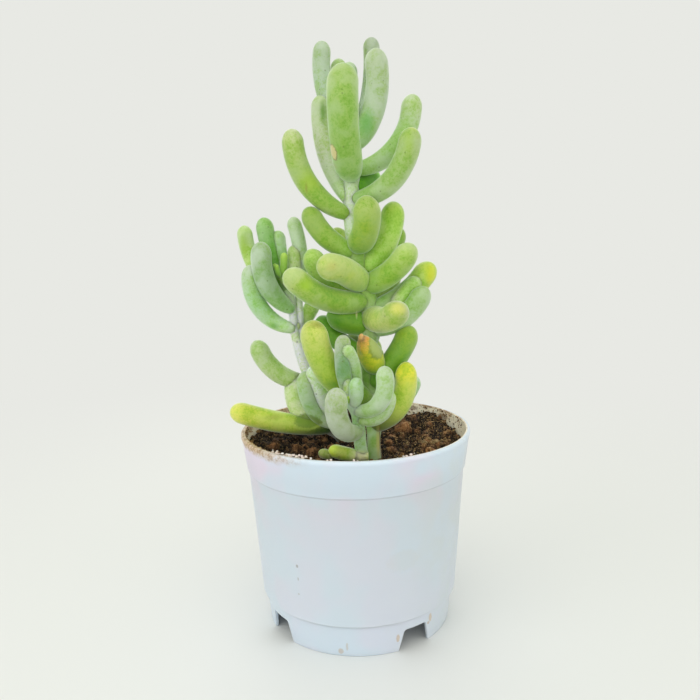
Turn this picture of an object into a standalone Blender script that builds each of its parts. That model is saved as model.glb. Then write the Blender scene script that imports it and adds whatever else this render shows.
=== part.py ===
"""Potted jelly-bean sedum: a white nursery pot, its soil, and three leafy shoots.

Sizes are in millimetres and become metres when each mesh is made. Z is up, and the pot stands on z = 0.
Shapes are measured from the pot's own axis, and every object is then placed at POT_X, so that the whole
plant with its spreading leaves is centred on the origin.
"""

import math
import random

import bmesh
import bpy
from mathutils import Matrix, Vector, noise

MM = 0.001
POT_X = 1.7

# Pot
POT_HEIGHT = 86.0
RIM_RADIUS = 50.0
RIM_LIP = 1.9
COLLAR_BOTTOM_Z = 70.5
COLLAR_BOTTOM_RADIUS = 47.9
WALL_TOP_RADIUS = 47.2
WALL_BOTTOM_RADIUS = 43.2
WALL = 1.2
FOOT_TOP_Z = 14.0
FOOT_TOP_RADIUS = 41.7
FOOT_BOTTOM_RADIUS = 40.2
FOOT_WALL = 1.4
FLOOR_UNDER_Z = 11.5
FLOOR_TOP_Z = 13.0
NOTCH_TURNS = (-56.0, 34.0, 124.0, 214.0)
NOTCH_HEIGHT = 9.5
NOTCH_TOP_WIDTH = 11.5
NOTCH_BOTTOM_WIDTH = 15.0
CENTRE_DRAIN_RADIUS = 6.0
SIDE_DRAIN_RADIUS = 4.0
SIDE_DRAIN_RING = 26.0
POT_SIDES = 44

# Soil
SEAT_GAP = 0.3
SOIL_SIDES = 32
SOIL_RINGS = (0.0, 9.0, 17.0, 25.0, 33.0, 41.0)
SOIL_LEFT_Z = 81.3
SOIL_RIGHT_Z = 78.8
SOIL_FRONT_DIP = 2.0
SOIL_BACK_RISE = 5.0
HEAP_SPOT = (36.0, 25.0)
HEAP_REACH = 9.0
HEAP_RISE = 2.2
DIP_SPOT = (24.0, 38.0)
DIP_REACH = 12.0
DIP_FALL = 2.6
SOIL_LUMPS = 0.8
CLOD_COUNT = 12
CLOD_SEED = 7
STEM_FOOT_Z = 62.0

# Leaves and stems
LEAF_SIDES = 8
LEAF_BODY = ((0.0, 0.54), (0.13, 0.74), (0.38, 0.93), (0.68, 1.0), (1.0, 1.0))
FULL_BODY = ((0.0, 0.52), (0.10, 0.78), (0.22, 0.95), (0.42, 1.0), (1.0, 1.0))
FULL_FROM = 9.75
LEAF_CAP_ANGLES = (38.0, 66.0)
LEAF_CAP_LENGTH = 1.25
LEAF_WIDTH_SHARE = 1.05
FACET_SHARE = 1.03
STEM_SIDES = 10

# Stem centre lines: x, y, z and radius
MAIN_STEM = (
    (7.6, -19.0, STEM_FOOT_Z, 2.8),
    (7.6, -19.0, 80.0, 2.8),
    (7.4, -16.0, 89.0, 2.8),
    (6.3, -12.0, 106.0, 3.1),
    (6.3, -9.0, 121.0, 3.7),
    (6.3, -6.0, 134.0, 4.1),
    (6.0, -5.0, 143.0, 4.0),
    (4.0, -4.0, 152.0, 3.6),
    (2.0, -3.0, 163.0, 3.4),
    (0.7, -1.0, 174.0, 3.3),
    (0.7, 0.0, 184.0, 3.3),
    (1.2, 1.0, 196.0, 3.1),
    (1.4, 2.0, 206.0, 2.6),
    (1.0, 3.0, 216.0, 2.0),
)
LEFT_STEM = (
    (-7.0, 0.0, STEM_FOOT_Z, 2.3),
    (-7.0, 0.0, 81.4, 2.3),
    (-9.6, 0.2, 84.6, 2.4),
    (-12.2, 0.5, 88.4, 2.5),
    (-15.6, 1.0, 97.0, 2.6),
    (-19.4, 2.0, 107.5, 2.6),
    (-21.6, 2.4, 113.5, 2.5),
    (-23.3, 2.8, 119.5, 2.5),
    (-25.2, 3.2, 127.0, 1.9),
    (-26.0, 3.8, 136.0, 1.7),
    (-26.9, 4.0, 143.0, 1.8),
    (-29.2, 4.0, 148.0, 2.0),
    (-31.2, 4.0, 153.0, 1.8),
)
LEFT_TWIN_STEM = (
    (-19.6, 2.0, 108.0, 1.5),
    (-21.6, 3.2, 117.0, 1.8),
    (-22.8, 4.4, 127.0, 1.6),
    (-23.1, 5.6, 138.0, 1.6),
    (-23.6, 8.0, 151.0, 1.5),
)
FRONT_STEM = (
    (2.4, -26.5, STEM_FOOT_Z, 2.6),
    (2.4, -26.5, 80.0, 2.6),
    (1.8, -27.0, 87.0, 2.6),
    (1.4, -28.0, 93.0, 2.5),
    (0.6, -29.0, 99.0, 2.2),
    (-1.2, -29.5, 105.0, 1.8),
)
FRONT_STUB = (
    (5.0, -27.5, 81.0, 1.7),
    (1.5, -27.7, 81.3, 2.2),
    (-1.0, -27.7, 81.5, 2.1),
)

# Leaves: height on the stem, turn, length, rise at the root, rise at the tip, thickness
# A turn of 0 points to +X, 90 to +Y at the back, 180 to -X and 270 to the front
MAIN_LEAVES = (
    (208, 150, 45, 42, 104, 7.5),
    (194, 262, 52.3, 8, 127, 11.8),
    (204, 109, 45, 30, 112, 7.0),
    (204, 93, 38.3, 53, 107, 6.8),
    (208, 50, 47, 44, 100, 7.0),
    (205, 17, 43, 45, 106, 9.8),
    (196, 5, 44, 3, 97, 9.0),
    (184, -28, 43, -2, 92, 9.5),
    (177.5, 192, 46, 15, 97, 9.2),
    (182, 155, 48, 50, 98, 7.8),
    (189, 50, 18, 0, 45, 9.4),
    (165.5, 296, 26, 0, 130, 11.0),
    (154, 25, 35, 26, 97, 10.2),
    (152, 45, 33, 8, 71, 8.7),
    (148, -25, 29, 13, 65, 10.3),
    (162, 185, 29, 14, 75, 9.2),
    (163, 130, 17, 14, 50, 7.0),
    (148, 235, 31, 36, 3, 11.4),
    (145, 192, 32.6, -3, 85, 9.7),
    (142, 213, 42, -7, 50, 10.4),
    (136.5, -59, 28, -23, 49, 10.8),
    (137, 12, 36, 9, 61, 10.2),
    (138, 3, 27, -2, 66, 8.0),
    (130, -8, 32, 0, 73, 9.2),
    (133, 190, 18, -10, 50, 10.8),
    (120, 160, 28, 5, 66, 8.5),
    (118, 300, 9.5, 10, 55, 7.3),
    (107, 5, 31, 34, 75, 10.1),
    (113, 84, 24, -9, 67, 8.8),
    (101, 207, 47, 18, 92, 11.4),
    (90, -15, 34, 22, 106, 9.5),
    (89, 14, 29.2, 30, 66, 7.3),
)
LEFT_LEAVES = (
    (142, 165, 40.3, 24, 93, 6.9),
    (129.5, 190, 37.2, 10, 108, 8.0),
    (138, 212, 34.8, 26, 108, 8.9),
    (146, 147, 33.8, 57, 84, 7.8),
    (148, 112, 24.8, 66, 82, 6.3),
    (106, 188, 33, -1, 82, 8.7),
    (85.5, 191, 45.6, 6, 23, 9.4),
    (86, 178, 33.5, 0, 122, 9.2),
    (86, 210, 30, 36, 97, 8.6),
    (87, 234, 30, 62, 78, 7.8),
)
LEFT_TWIN_LEAVES = (
    (146, 150, 32, 106, 66, 6.3),
    (146, 240, 20, 70, 107, 7.0),
    (121, 20, 22, 20, 62, 9.0),
)
FRONT_LEAVES = (
    (92, 234, 30, -10, 125, 8.6),
    (101, -38, 29, -10, 119, 7.0),
    (97.5, -14, 21, -20, 108, 6.8),
    (103, 192, 29, 66, 102, 6.3),
    (103, 240, 27, 119, 36, 5.2),
    (105, 222, 11, 50, 103, 3.8),
    (103, 290, 13, 37, 115, 5.6),
)

# Leaves with a root of their own: root, then the same values as above without the height
WITHERED_LEAF = ((9.4, -12.5, 113.0), 238, 20, 62, 46, 9.8)
SOIL_LEAF = ((1.0, -27.6, 81.4), 180, 12.5, 6, 22, 5.8)

# The side away from the photograph carries on the same spiral
GOLDEN_TURN = 137.5
BACK_TURNS = (48.0, 121.0)
BACK_SEED = 11
MAIN_SPIRAL = (94.0, 196.0, 3.3, 285.0, 28.0, 36.0, 9.0)
LEFT_SPIRAL = (92.0, 146.0, 3.8, 120.0, 24.0, 30.0, 7.0)

# Looks
POT_COLOUR = (0.66, 0.72, 0.80)
SOIL_COLOUR = (0.035, 0.020, 0.013)
MAIN_COLOUR = (0.28, 0.45, 0.13)
LEFT_COLOUR = (0.26, 0.47, 0.30)
FRONT_COLOUR = (0.42, 0.60, 0.45)


def clear_scene():
    for old in list(bpy.data.objects):
        bpy.data.objects.remove(old, do_unlink=True)


def material(name, colour, roughness):
    made = bpy.data.materials.new(name)
    made.use_nodes = True
    shader = made.node_tree.nodes["Principled BSDF"]
    shader.inputs["Base Color"].default_value = (*colour, 1.0)
    shader.inputs["Roughness"].default_value = roughness
    shader.inputs["Metallic"].default_value = 0.0
    made.diffuse_color = (*colour, 1.0)
    return made


def add_object(name, shape, look=None):
    """Turns a bmesh in millimetres into an object of that name at the pot's place."""
    bmesh.ops.recalc_face_normals(shape, faces=shape.faces[:])
    bmesh.ops.scale(shape, vec=(MM, MM, MM), verts=shape.verts[:])
    mesh = bpy.data.meshes.new(name)
    shape.to_mesh(mesh)
    shape.free()
    made = bpy.data.objects.new(name, mesh)
    bpy.context.scene.collection.objects.link(made)
    made.location = (POT_X * MM, 0.0, 0.0)
    if look is not None:
        mesh.materials.append(look)
    return made


def smooth(made, degrees=40.0):
    made.data.shade_smooth()
    made.data.set_sharp_from_angle(angle=math.radians(degrees))


def hidden_helper(made):
    made.hide_render = True
    made.display_type = "WIRE"


def remove_helpers(helpers):
    for helper in helpers:
        bpy.data.objects.remove(helper, do_unlink=True)


def boolean(made, helpers, operation):
    """Applies one Boolean with a collection of helpers, and removes the helpers."""
    group = bpy.data.collections.new(made.name + "_helpers")
    bpy.context.scene.collection.children.link(group)
    for helper in helpers:
        hidden_helper(helper)
        group.objects.link(helper)
    step = made.modifiers.new(operation.title(), "BOOLEAN")
    step.operation = operation
    step.operand_type = "COLLECTION"
    step.collection = group
    step.solver = "MANIFOLD"
    bpy.context.view_layer.update()
    graph = bpy.context.evaluated_depsgraph_get()
    result = bpy.data.meshes.new_from_object(made.evaluated_get(graph), depsgraph=graph)
    made.modifiers.clear()
    old = made.data
    made.data = result
    bpy.data.meshes.remove(old)
    result.name = made.name
    remove_helpers(helpers)
    bpy.data.collections.remove(group)


def loose_groups(shape):
    """The sets of faces that hang together."""
    groups = []
    seen = set()
    for start in shape.faces:
        if start in seen:
            continue
        group = []
        waiting = [start]
        seen.add(start)
        while waiting:
            face = waiting.pop()
            group.append(face)
            for edge in face.edges:
                for other in edge.link_faces:
                    if other not in seen:
                        seen.add(other)
                        waiting.append(other)
        groups.append(group)
    return groups


def keep_main_body(made):
    """Fills any hollow that a union sealed, and drops any loose scrap."""
    shape = bmesh.new()
    shape.from_mesh(made.data)
    groups = sorted(loose_groups(shape), key=len)
    spare = [face for group in groups[:-1] for face in group]
    if spare:
        bmesh.ops.delete(shape, geom=spare, context="FACES")
    shape.to_mesh(made.data)
    shape.free()


def turned(outline, sides, closed):
    """Spins an outline of (radius, z) about the Z axis."""
    shape = bmesh.new()
    corners = [shape.verts.new((radius, 0.0, z)) for radius, z in outline]
    edges = [shape.edges.new(pair) for pair in zip(corners, corners[1:])]
    if closed:
        edges.append(shape.edges.new((corners[-1], corners[0])))
    bmesh.ops.spin(
        shape,
        geom=corners + edges,
        cent=(0.0, 0.0, 0.0),
        axis=(0.0, 0.0, 1.0),
        angle=math.tau,
        steps=sides,
        use_merge=True,
    )
    bmesh.ops.remove_doubles(shape, verts=shape.verts[:], dist=0.0001)
    return shape


def pot_outline():
    """The pot's section, from the middle of the floor outwards, up the outside and back down the inside."""
    inner_top = RIM_RADIUS - RIM_LIP
    return (
        (0.0, FLOOR_UNDER_Z),
        (FOOT_TOP_RADIUS - FOOT_WALL - 0.3, FLOOR_UNDER_Z),
        (FOOT_BOTTOM_RADIUS - FOOT_WALL, 0.0),
        (FOOT_BOTTOM_RADIUS - 0.25, 0.0),
        (FOOT_BOTTOM_RADIUS, 0.4),
        (FOOT_TOP_RADIUS, FOOT_TOP_Z),
        (WALL_BOTTOM_RADIUS - 0.5, FOOT_TOP_Z + 0.25),
        (WALL_BOTTOM_RADIUS, FOOT_TOP_Z + 1.0),
        (WALL_TOP_RADIUS, COLLAR_BOTTOM_Z - 0.3),
        (COLLAR_BOTTOM_RADIUS, COLLAR_BOTTOM_Z),
        (RIM_RADIUS - 0.5, POT_HEIGHT - 2.6),
        (RIM_RADIUS, POT_HEIGHT - 1.6),
        (RIM_RADIUS - 0.15, POT_HEIGHT - 0.6),
        (RIM_RADIUS - 0.7, POT_HEIGHT),
        (inner_top + 0.35, POT_HEIGHT),
        (inner_top, POT_HEIGHT - 0.5),
        (COLLAR_BOTTOM_RADIUS - WALL - 0.4, COLLAR_BOTTOM_Z - 0.6),
        (WALL_BOTTOM_RADIUS - WALL, FLOOR_TOP_Z + 1.5),
        (WALL_BOTTOM_RADIUS - WALL - 1.2, FLOOR_TOP_Z),
        (0.0, FLOOR_TOP_Z),
    )


def notch_cutter(turn):
    """A block, narrower at its top, that cuts one notch through the foot ring."""
    shape = bmesh.new()
    half_low = 0.5 * NOTCH_BOTTOM_WIDTH + 0.8
    half_top = 0.5 * NOTCH_TOP_WIDTH
    section = (
        (-half_low, -2.0),
        (half_low, -2.0),
        (half_top + 0.2, NOTCH_HEIGHT - 1.0),
        (half_top - 1.0, NOTCH_HEIGHT),
        (1.0 - half_top, NOTCH_HEIGHT),
        (-half_top - 0.2, NOTCH_HEIGHT - 1.0),
    )
    near = [shape.verts.new((30.0, across, z)) for across, z in section]
    front = shape.faces.new(near)
    pushed = bmesh.ops.extrude_face_region(shape, geom=[front])
    moved = [part for part in pushed["geom"] if isinstance(part, bmesh.types.BMVert)]
    bmesh.ops.translate(shape, vec=(20.0, 0.0, 0.0), verts=moved)
    bmesh.ops.rotate(shape, matrix=Matrix.Rotation(math.radians(turn), 3, "Z"), verts=shape.verts[:])
    return add_object("notch_cutter", shape)


def drain_cutter(x, y, radius):
    shape = bmesh.new()
    bmesh.ops.create_cone(
        shape, cap_ends=True, segments=20, radius1=radius, radius2=radius, depth=8.0,
        matrix=Matrix.Translation((x, y, 0.5 * (FLOOR_UNDER_Z + FLOOR_TOP_Z))),
    )
    return add_object("drain_cutter", shape)


def make_pot():
    look = material("pot_plastic", POT_COLOUR, 0.45)
    pot = add_object("pot", turned(pot_outline(), POT_SIDES, False), look)
    cutters = [notch_cutter(turn) for turn in NOTCH_TURNS]
    cutters.append(drain_cutter(0.0, 0.0, CENTRE_DRAIN_RADIUS))
    for turn in NOTCH_TURNS:
        angle = math.radians(turn + 45.0)
        x = SIDE_DRAIN_RING * math.cos(angle)
        y = SIDE_DRAIN_RING * math.sin(angle)
        cutters.append(drain_cutter(x, y, SIDE_DRAIN_RADIUS))
    boolean(pot, cutters, "DIFFERENCE")
    smooth(pot)
    return pot


def wall_inside(z):
    """The pot's inner radius at a height between the floor and the rim."""
    low = (FLOOR_TOP_Z + 1.5, WALL_BOTTOM_RADIUS - WALL)
    middle = (COLLAR_BOTTOM_Z - 0.6, COLLAR_BOTTOM_RADIUS - WALL - 0.4)
    top = (POT_HEIGHT - 0.5, RIM_RADIUS - RIM_LIP)
    start, end = (low, middle) if z < middle[0] else (middle, top)
    share = (z - start[0]) / (end[0] - start[0])
    return start[1] + share * (end[1] - start[1])


def soil_height(x, y):
    """The lumpy surface, higher at the left than at the right, with a heap and a dip at the back."""
    across = 0.5 + 0.5 * x / RIM_RADIUS
    level = SOIL_LEFT_Z + across * (SOIL_RIGHT_Z - SOIL_LEFT_Z)
    dip = SOIL_FRONT_DIP * min(max((-8.0 - y) / 14.0, 0.0), 1.0)
    rise = SOIL_BACK_RISE * across * min(max((y - 4.0) / 30.0, 0.0), 1.0)
    from_heap = math.hypot(x - HEAP_SPOT[0], y - HEAP_SPOT[1])
    rise += HEAP_RISE * max(1.0 - from_heap / HEAP_REACH, 0.0)
    from_dip = math.hypot(x - DIP_SPOT[0], y - DIP_SPOT[1])
    rise -= DIP_FALL * max(1.0 - from_dip / DIP_REACH, 0.0)
    lumps = noise.noise(Vector((0.11 * x, 0.11 * y, 3.0)))
    lumps += 0.6 * noise.noise(Vector((0.29 * x, 0.29 * y, 8.0)))
    return level - dip + rise + SOIL_LUMPS * lumps


def soil_clod(spot, radius):
    shape = bmesh.new()
    bmesh.ops.create_icosphere(shape, subdivisions=1, radius=radius)
    for corner in shape.verts:
        corner.co *= 1.0 + 0.25 * noise.noise(corner.co + Vector(spot))
    bmesh.ops.translate(shape, vec=spot, verts=shape.verts[:])
    return add_object("clod", shape)


def clod_places():
    """Seeded places for clods, clear of the stems and of the pot wall."""
    draw = random.Random(CLOD_SEED)
    stems = [stem[0][:2] for stem in (MAIN_STEM, LEFT_STEM, FRONT_STEM)]
    places = []
    while len(places) < CLOD_COUNT:
        turn = draw.uniform(-math.pi, math.pi)
        reach = draw.uniform(14.0, 40.0)
        radius = draw.uniform(1.8, 3.4)
        x = reach * math.cos(turn)
        y = reach * math.sin(turn)
        under_leaf = x < -8.0 and abs(y) < 9.0
        clear = all(math.hypot(x - a, y - b) > 8.0 + radius for a, b in stems)
        apart = all(math.hypot(x - p[0], y - p[1]) > radius + r for p, r in places)
        if clear and apart and not under_leaf:
            places.append(((x, y, soil_height(x, y) + 0.1 * radius), radius))
    return places


def make_soil():
    """Fills the pot from its floor up to a lumpy top."""
    edge_z = 0.5 * (SOIL_LEFT_Z + SOIL_RIGHT_Z)
    outline = [(0.0, FLOOR_TOP_Z + SEAT_GAP)]
    outline.append((WALL_BOTTOM_RADIUS - WALL - 1.2 - SEAT_GAP, FLOOR_TOP_Z + SEAT_GAP))
    outline.append((wall_inside(FLOOR_TOP_Z + 1.5) - SEAT_GAP, FLOOR_TOP_Z + 1.5 + SEAT_GAP))
    outline.append((wall_inside(COLLAR_BOTTOM_Z - 0.6) - SEAT_GAP, COLLAR_BOTTOM_Z - 0.6))
    outline.append((wall_inside(edge_z) - SEAT_GAP - 0.15, edge_z))
    outline.extend((ring, edge_z) for ring in reversed(SOIL_RINGS))
    shape = turned(outline, SOIL_SIDES, False)
    for corner in shape.verts:
        if corner.co.z > edge_z - 0.01:
            corner.co.z = soil_height(corner.co.x, corner.co.y)
            reach = math.hypot(corner.co.x, corner.co.y)
            limit = wall_inside(corner.co.z) - SEAT_GAP - 0.15
            if reach > 0.95 * limit:
                corner.co.x *= limit / reach
                corner.co.y *= limit / reach
    soil = add_object("soil", shape, material("potting_soil", SOIL_COLOUR, 0.95))
    boolean(soil, [soil_clod(spot, radius) for spot, radius in clod_places()], "UNION")
    keep_main_body(soil)
    boolean(soil, [stem_hole(stem) for stem in (MAIN_STEM, LEFT_STEM, FRONT_STEM)], "DIFFERENCE")
    keep_main_body(soil)
    smooth(soil)
    return soil


def stem_hole(stem):
    """The plain hole that a stem stands in, with a seat gap all round."""
    x, y, _, radius = stem[0]
    top = POT_HEIGHT + 6.0
    bottom = STEM_FOOT_Z - SEAT_GAP
    shape = bmesh.new()
    wide = (radius + SEAT_GAP) / math.cos(math.pi / STEM_SIDES)
    bmesh.ops.create_cone(
        shape, cap_ends=True, segments=2 * STEM_SIDES, radius1=wide, radius2=wide, depth=top - bottom,
        matrix=Matrix.Translation((x, y, 0.5 * (top + bottom))),
    )
    return add_object("stem_hole", shape)


def skin(rings, tip=None):
    """Joins rings of points into one closed skin, with a flat end or a pointed tip."""
    shape = bmesh.new()
    loops = [[shape.verts.new(point) for point in ring] for ring in rings]
    count = len(loops[0])
    for low, high in zip(loops, loops[1:]):
        for k in range(count):
            after = (k + 1) % count
            shape.faces.new((low[k], low[after], high[after], high[k]))
    shape.faces.new(list(reversed(loops[0])))
    if tip is None:
        shape.faces.new(loops[-1])
        return shape
    point = shape.verts.new(tip)
    for k in range(count):
        shape.faces.new((loops[-1][k], loops[-1][(k + 1) % count], point))
    return shape


def stem_skin(line):
    """A tube along a centre line, its rings square to the line."""
    points = [Vector(entry[:3]) for entry in line]
    rings = []
    for k, point in enumerate(points):
        before = points[max(k - 1, 0)]
        after = points[min(k + 1, len(points) - 1)]
        along = (after - before).normalized()
        guide = Vector((0.0, 1.0, 0.0))
        side = guide.cross(along).normalized()
        front = along.cross(side)
        radius = line[k][3]
        ring = []
        for step in range(STEM_SIDES):
            angle = math.tau * step / STEM_SIDES
            ring.append(point + radius * (math.cos(angle) * side + math.sin(angle) * front))
        rings.append(ring)
    return skin(rings)


def point_on(line, z):
    """The centre of a stem at a height."""
    for low, high in zip(line, line[1:]):
        if low[2] <= z <= high[2]:
            share = (z - low[2]) / (high[2] - low[2])
            return Vector(low[:3]).lerp(Vector(high[:3]), share)
    return Vector(line[-1][:3])


def leaf_line(length, root_rise, tip_rise, share):
    """Where a leaf's centre line is at a share of its length, and its slope there."""
    steps = 24
    out = 0.0
    up = 0.0
    for k in range(steps):
        angle = math.radians(root_rise + (tip_rise - root_rise) * share * (k + 0.5) / steps)
        out += math.cos(angle) * length * share / steps
        up += math.sin(angle) * length * share / steps
    return out, up, math.radians(root_rise + (tip_rise - root_rise) * share)


def leaf_stations(length, radius):
    """Shares of the length, each with its share of the full radius."""
    body = 1.0 - LEAF_CAP_LENGTH * radius / length
    widths = LEAF_BODY if 2.0 * radius < FULL_FROM else FULL_BODY
    stations = [(share * body, width) for share, width in widths]
    for degrees in LEAF_CAP_ANGLES:
        angle = math.radians(degrees)
        stations.append((body + (1.0 - body) * math.sin(angle), math.cos(angle)))
    return stations


def leaf_skin(root, turn, length, root_rise, tip_rise, thick):
    """One bean-shaped leaf: a bent, rounded club that starts inside its stem."""
    heading = Vector((math.cos(math.radians(turn)), math.sin(math.radians(turn)), 0.0))
    across = Vector((-heading.y, heading.x, 0.0))
    up = Vector((0.0, 0.0, 1.0))
    radius = 0.5 * thick
    drawn = radius * FACET_SHARE
    rings = []
    for share, width in leaf_stations(length, radius):
        out, rise, slope = leaf_line(length, root_rise, tip_rise, share)
        centre = root + out * heading + rise * up
        normal = math.cos(slope) * up - math.sin(slope) * heading
        ring = []
        for step in range(LEAF_SIDES):
            angle = math.tau * (step + 0.5) / LEAF_SIDES
            side = LEAF_WIDTH_SHARE * width * drawn * math.cos(angle)
            ring.append(centre + side * across + width * drawn * math.sin(angle) * normal)
        rings.append(ring)
    out, rise, _ = leaf_line(length, root_rise, tip_rise, 1.0)
    return skin(rings, root + out * heading + rise * up)


def leaf_objects(line, leaves):
    made = []
    for height, *leaf in leaves:
        made.append(add_object("leaf", leaf_skin(point_on(line, height), *leaf)))
    return made


def rooted_leaf(leaf):
    root, *rest = leaf
    return add_object("leaf", leaf_skin(Vector(root), *rest))


def back_leaves(spiral):
    """The leaves of a spiral that point away from the front, each a little different from the last."""
    low, high, step, turn, low_length, high_length, thick = spiral
    draw = random.Random(BACK_SEED)
    leaves = []
    height = low
    while height < high:
        share = (height - low) / (high - low)
        length = (low_length + share * (high_length - low_length)) * draw.uniform(0.92, 1.06)
        root_rise = draw.uniform(0.0, 18.0)
        tip_rise = draw.uniform(72.0, 94.0)
        if BACK_TURNS[0] < turn % 360.0 < BACK_TURNS[1]:
            leaves.append((height, turn % 360.0, length, root_rise, tip_rise, thick))
        height += step
        turn += GOLDEN_TURN
    return leaves


def make_shoot(name, line, additions, look):
    shoot = add_object(name, stem_skin(line), look)
    boolean(shoot, additions, "UNION")
    keep_main_body(shoot)
    smooth(shoot)
    return shoot


def main_additions():
    leaves = MAIN_LEAVES + tuple(back_leaves(MAIN_SPIRAL))
    return leaf_objects(MAIN_STEM, leaves) + [rooted_leaf(WITHERED_LEAF)]


def left_additions():
    leaves = LEFT_LEAVES + tuple(back_leaves(LEFT_SPIRAL))
    made = leaf_objects(LEFT_STEM, leaves) + leaf_objects(LEFT_TWIN_STEM, LEFT_TWIN_LEAVES)
    return made + [add_object("twin", stem_skin(LEFT_TWIN_STEM))]


def front_additions():
    made = leaf_objects(FRONT_STEM, FRONT_LEAVES)
    return made + [add_object("stub", stem_skin(FRONT_STUB)), rooted_leaf(SOIL_LEAF)]


def make_shoots():
    make_shoot("shoot_main", MAIN_STEM, main_additions(), material("main_leaves", MAIN_COLOUR, 0.45))
    make_shoot("shoot_left", LEFT_STEM, left_additions(), material("left_leaves", LEFT_COLOUR, 0.5))
    make_shoot("shoot_front", FRONT_STEM, front_additions(), material("front_leaves", FRONT_COLOUR, 0.5))


def main():
    clear_scene()
    make_pot()
    make_soil()
    make_shoots()


main()
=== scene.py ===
"""The looks of the potted sedum: a fine pot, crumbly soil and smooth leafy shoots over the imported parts.

Sizes are in millimetres and become metres when each mesh is made. Z is up, and the pot stands on z = 0.
Shapes are measured from the pot's own axis, which stands at POT_X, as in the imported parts.
"""

import math
import random

import bmesh
import bpy
import numpy as np
from mathutils import Matrix, Vector, noise


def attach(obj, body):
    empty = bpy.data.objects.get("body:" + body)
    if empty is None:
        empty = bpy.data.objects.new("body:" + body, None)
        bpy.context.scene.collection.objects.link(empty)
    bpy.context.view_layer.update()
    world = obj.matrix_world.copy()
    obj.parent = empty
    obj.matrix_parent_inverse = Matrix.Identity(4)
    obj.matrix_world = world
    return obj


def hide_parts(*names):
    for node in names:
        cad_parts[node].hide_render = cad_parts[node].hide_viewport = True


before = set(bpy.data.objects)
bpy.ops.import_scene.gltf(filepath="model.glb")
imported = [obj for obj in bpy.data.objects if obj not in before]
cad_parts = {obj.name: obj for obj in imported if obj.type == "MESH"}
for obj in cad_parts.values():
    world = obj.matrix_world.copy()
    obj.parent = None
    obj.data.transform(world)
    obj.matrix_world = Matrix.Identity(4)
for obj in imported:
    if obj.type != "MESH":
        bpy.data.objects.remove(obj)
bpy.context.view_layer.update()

MM = 0.001
POT_X = 1.7

# Camera
CAMERA_PLACE = (0.0, -319.841, 176.506)
CAMERA_RIGHT = (0.999687, 0.000419, -0.025005)
CAMERA_UP = (0.024551, 0.173885, 0.984460)
CAMERA_AHEAD = (-0.004761, 0.984766, -0.173820)
SENSOR = 36.0
LENS = 38.571
CAMERA_CLIP = (0.01, 20.0)

# Pot
POT_HEIGHT = 86.0
RIM_RADIUS = 50.0
RIM_LIP = 1.9
COLLAR_BOTTOM_Z = 70.5
COLLAR_BOTTOM_RADIUS = 47.9
WALL_TOP_RADIUS = 47.2
WALL_BOTTOM_RADIUS = 43.2
WALL = 1.2
FOOT_TOP_Z = 14.0
FOOT_TOP_RADIUS = 41.7
FOOT_BOTTOM_RADIUS = 40.2
FOOT_WALL = 1.4
FLOOR_UNDER_Z = 11.5
FLOOR_TOP_Z = 13.0
NOTCH_TURNS = (-56.0, 34.0, 124.0, 214.0)
DRAIN_PAST_NOTCH = 45.0
NOTCH_HEIGHT = 9.5
NOTCH_TOP_WIDTH = 11.5
NOTCH_BOTTOM_WIDTH = 15.0
NOTCH_ROUND = 1.6
NOTCH_FROM = 30.0
NOTCH_DEPTH = 20.0
CENTRE_DRAIN_RADIUS = 6.0
SIDE_DRAIN_RADIUS = 4.0
SIDE_DRAIN_RING = 26.0
DRAIN_SIDES = 48
DRAIN_DEPTH = 8.0
POT_SIDES = 192
POT_SHARP = 38.0
WALL_LEAN = 0.115
FOOT_ROUND = 0.4
EDGE_ROUND = 0.75
LIP_ROUND = 0.5
FLOOR_ROUND = 1.2
# The inside of the wall, as radius and height: its foot and its kink at the collar
INNER_BOTTOM = (WALL_BOTTOM_RADIUS - WALL, FLOOR_TOP_Z + 1.5)
INNER_KINK = (COLLAR_BOTTOM_RADIUS - WALL - 0.4, COLLAR_BOTTOM_Z - 0.6)

# Soil
SEAT_GAP = 0.3
SOIL_SECTORS = 360
SOIL_ROWS = 104
SOIL_LEFT_Z = 81.3
SOIL_RIGHT_Z = 78.8
SOIL_FRONT_DIP = 2.0
FRONT_DIP_SPAN = (-8.0, -22.0)
SOIL_BACK_RISE = 5.0
BACK_RISE_SPAN = (4.0, 34.0)
HEAP_SPOT = (36.0, 25.0)
HEAP_REACH = 9.0
HEAP_RISE = 2.2
DIP_SPOT = (24.0, 38.0)
DIP_REACH = 12.0
DIP_FALL = 2.6
SOIL_LUMPS = 0.8
SOIL_SINK = 1.1
SOIL_RELIEF = 1.9
SOIL_EDGE_TOP = 84.6
SOIL_SHARP = 32.0
# How far the soil stands out where its painted shade gives way to brown, and how much lighter it is at the
# right, as painted light
SOIL_OUT = (-0.6, 1.6)
SOIL_LIT = 0.7
CLOD_COUNT = 12
CLOD_SEED = 7
CLOD_REACHES = (14.0, 40.0)
CLOD_SIZES = (1.8, 3.4)
CLOD_STEM_GAP = 8.0
CLOD_ROUGH = 0.25
CLOD_FLAT = 0.92
# No clod lies left of the first value and within the second of the middle, under the yellow leaf
UNDER_LEAF = (-8.0, 9.0)
# Crumbs that stand out of the soil, loose ones on it, and a dry heap at the right
CRUMB_COUNT = 1300
CRUMB_SEED = 21
CRUMB_REACH = 47.0
CRUMB_SIZES = (0.45, 2.1)
CRUMB_FLATS = (0.45, 1.0)
CRUMB_CORNERS = 0.3
CRUMB_STEM_GAP = 3.0
CRUMB_STRETCH = ((0.7, 1.3), (0.7, 1.3), (0.6, 1.0))
CRUMB_UNEVEN = 0.6
LOOSE_CRUMBS = 1100
LOOSE_SIZES = (0.3, 1.35)
LOOSE_DARKER = 1.6
DRY_CRUMBS = 70
DRY_SIZES = (0.3, 1.1)
DRY_SPOT = (34.0, -5.0)
DRY_SPREAD = (4.5, 3.0)
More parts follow.
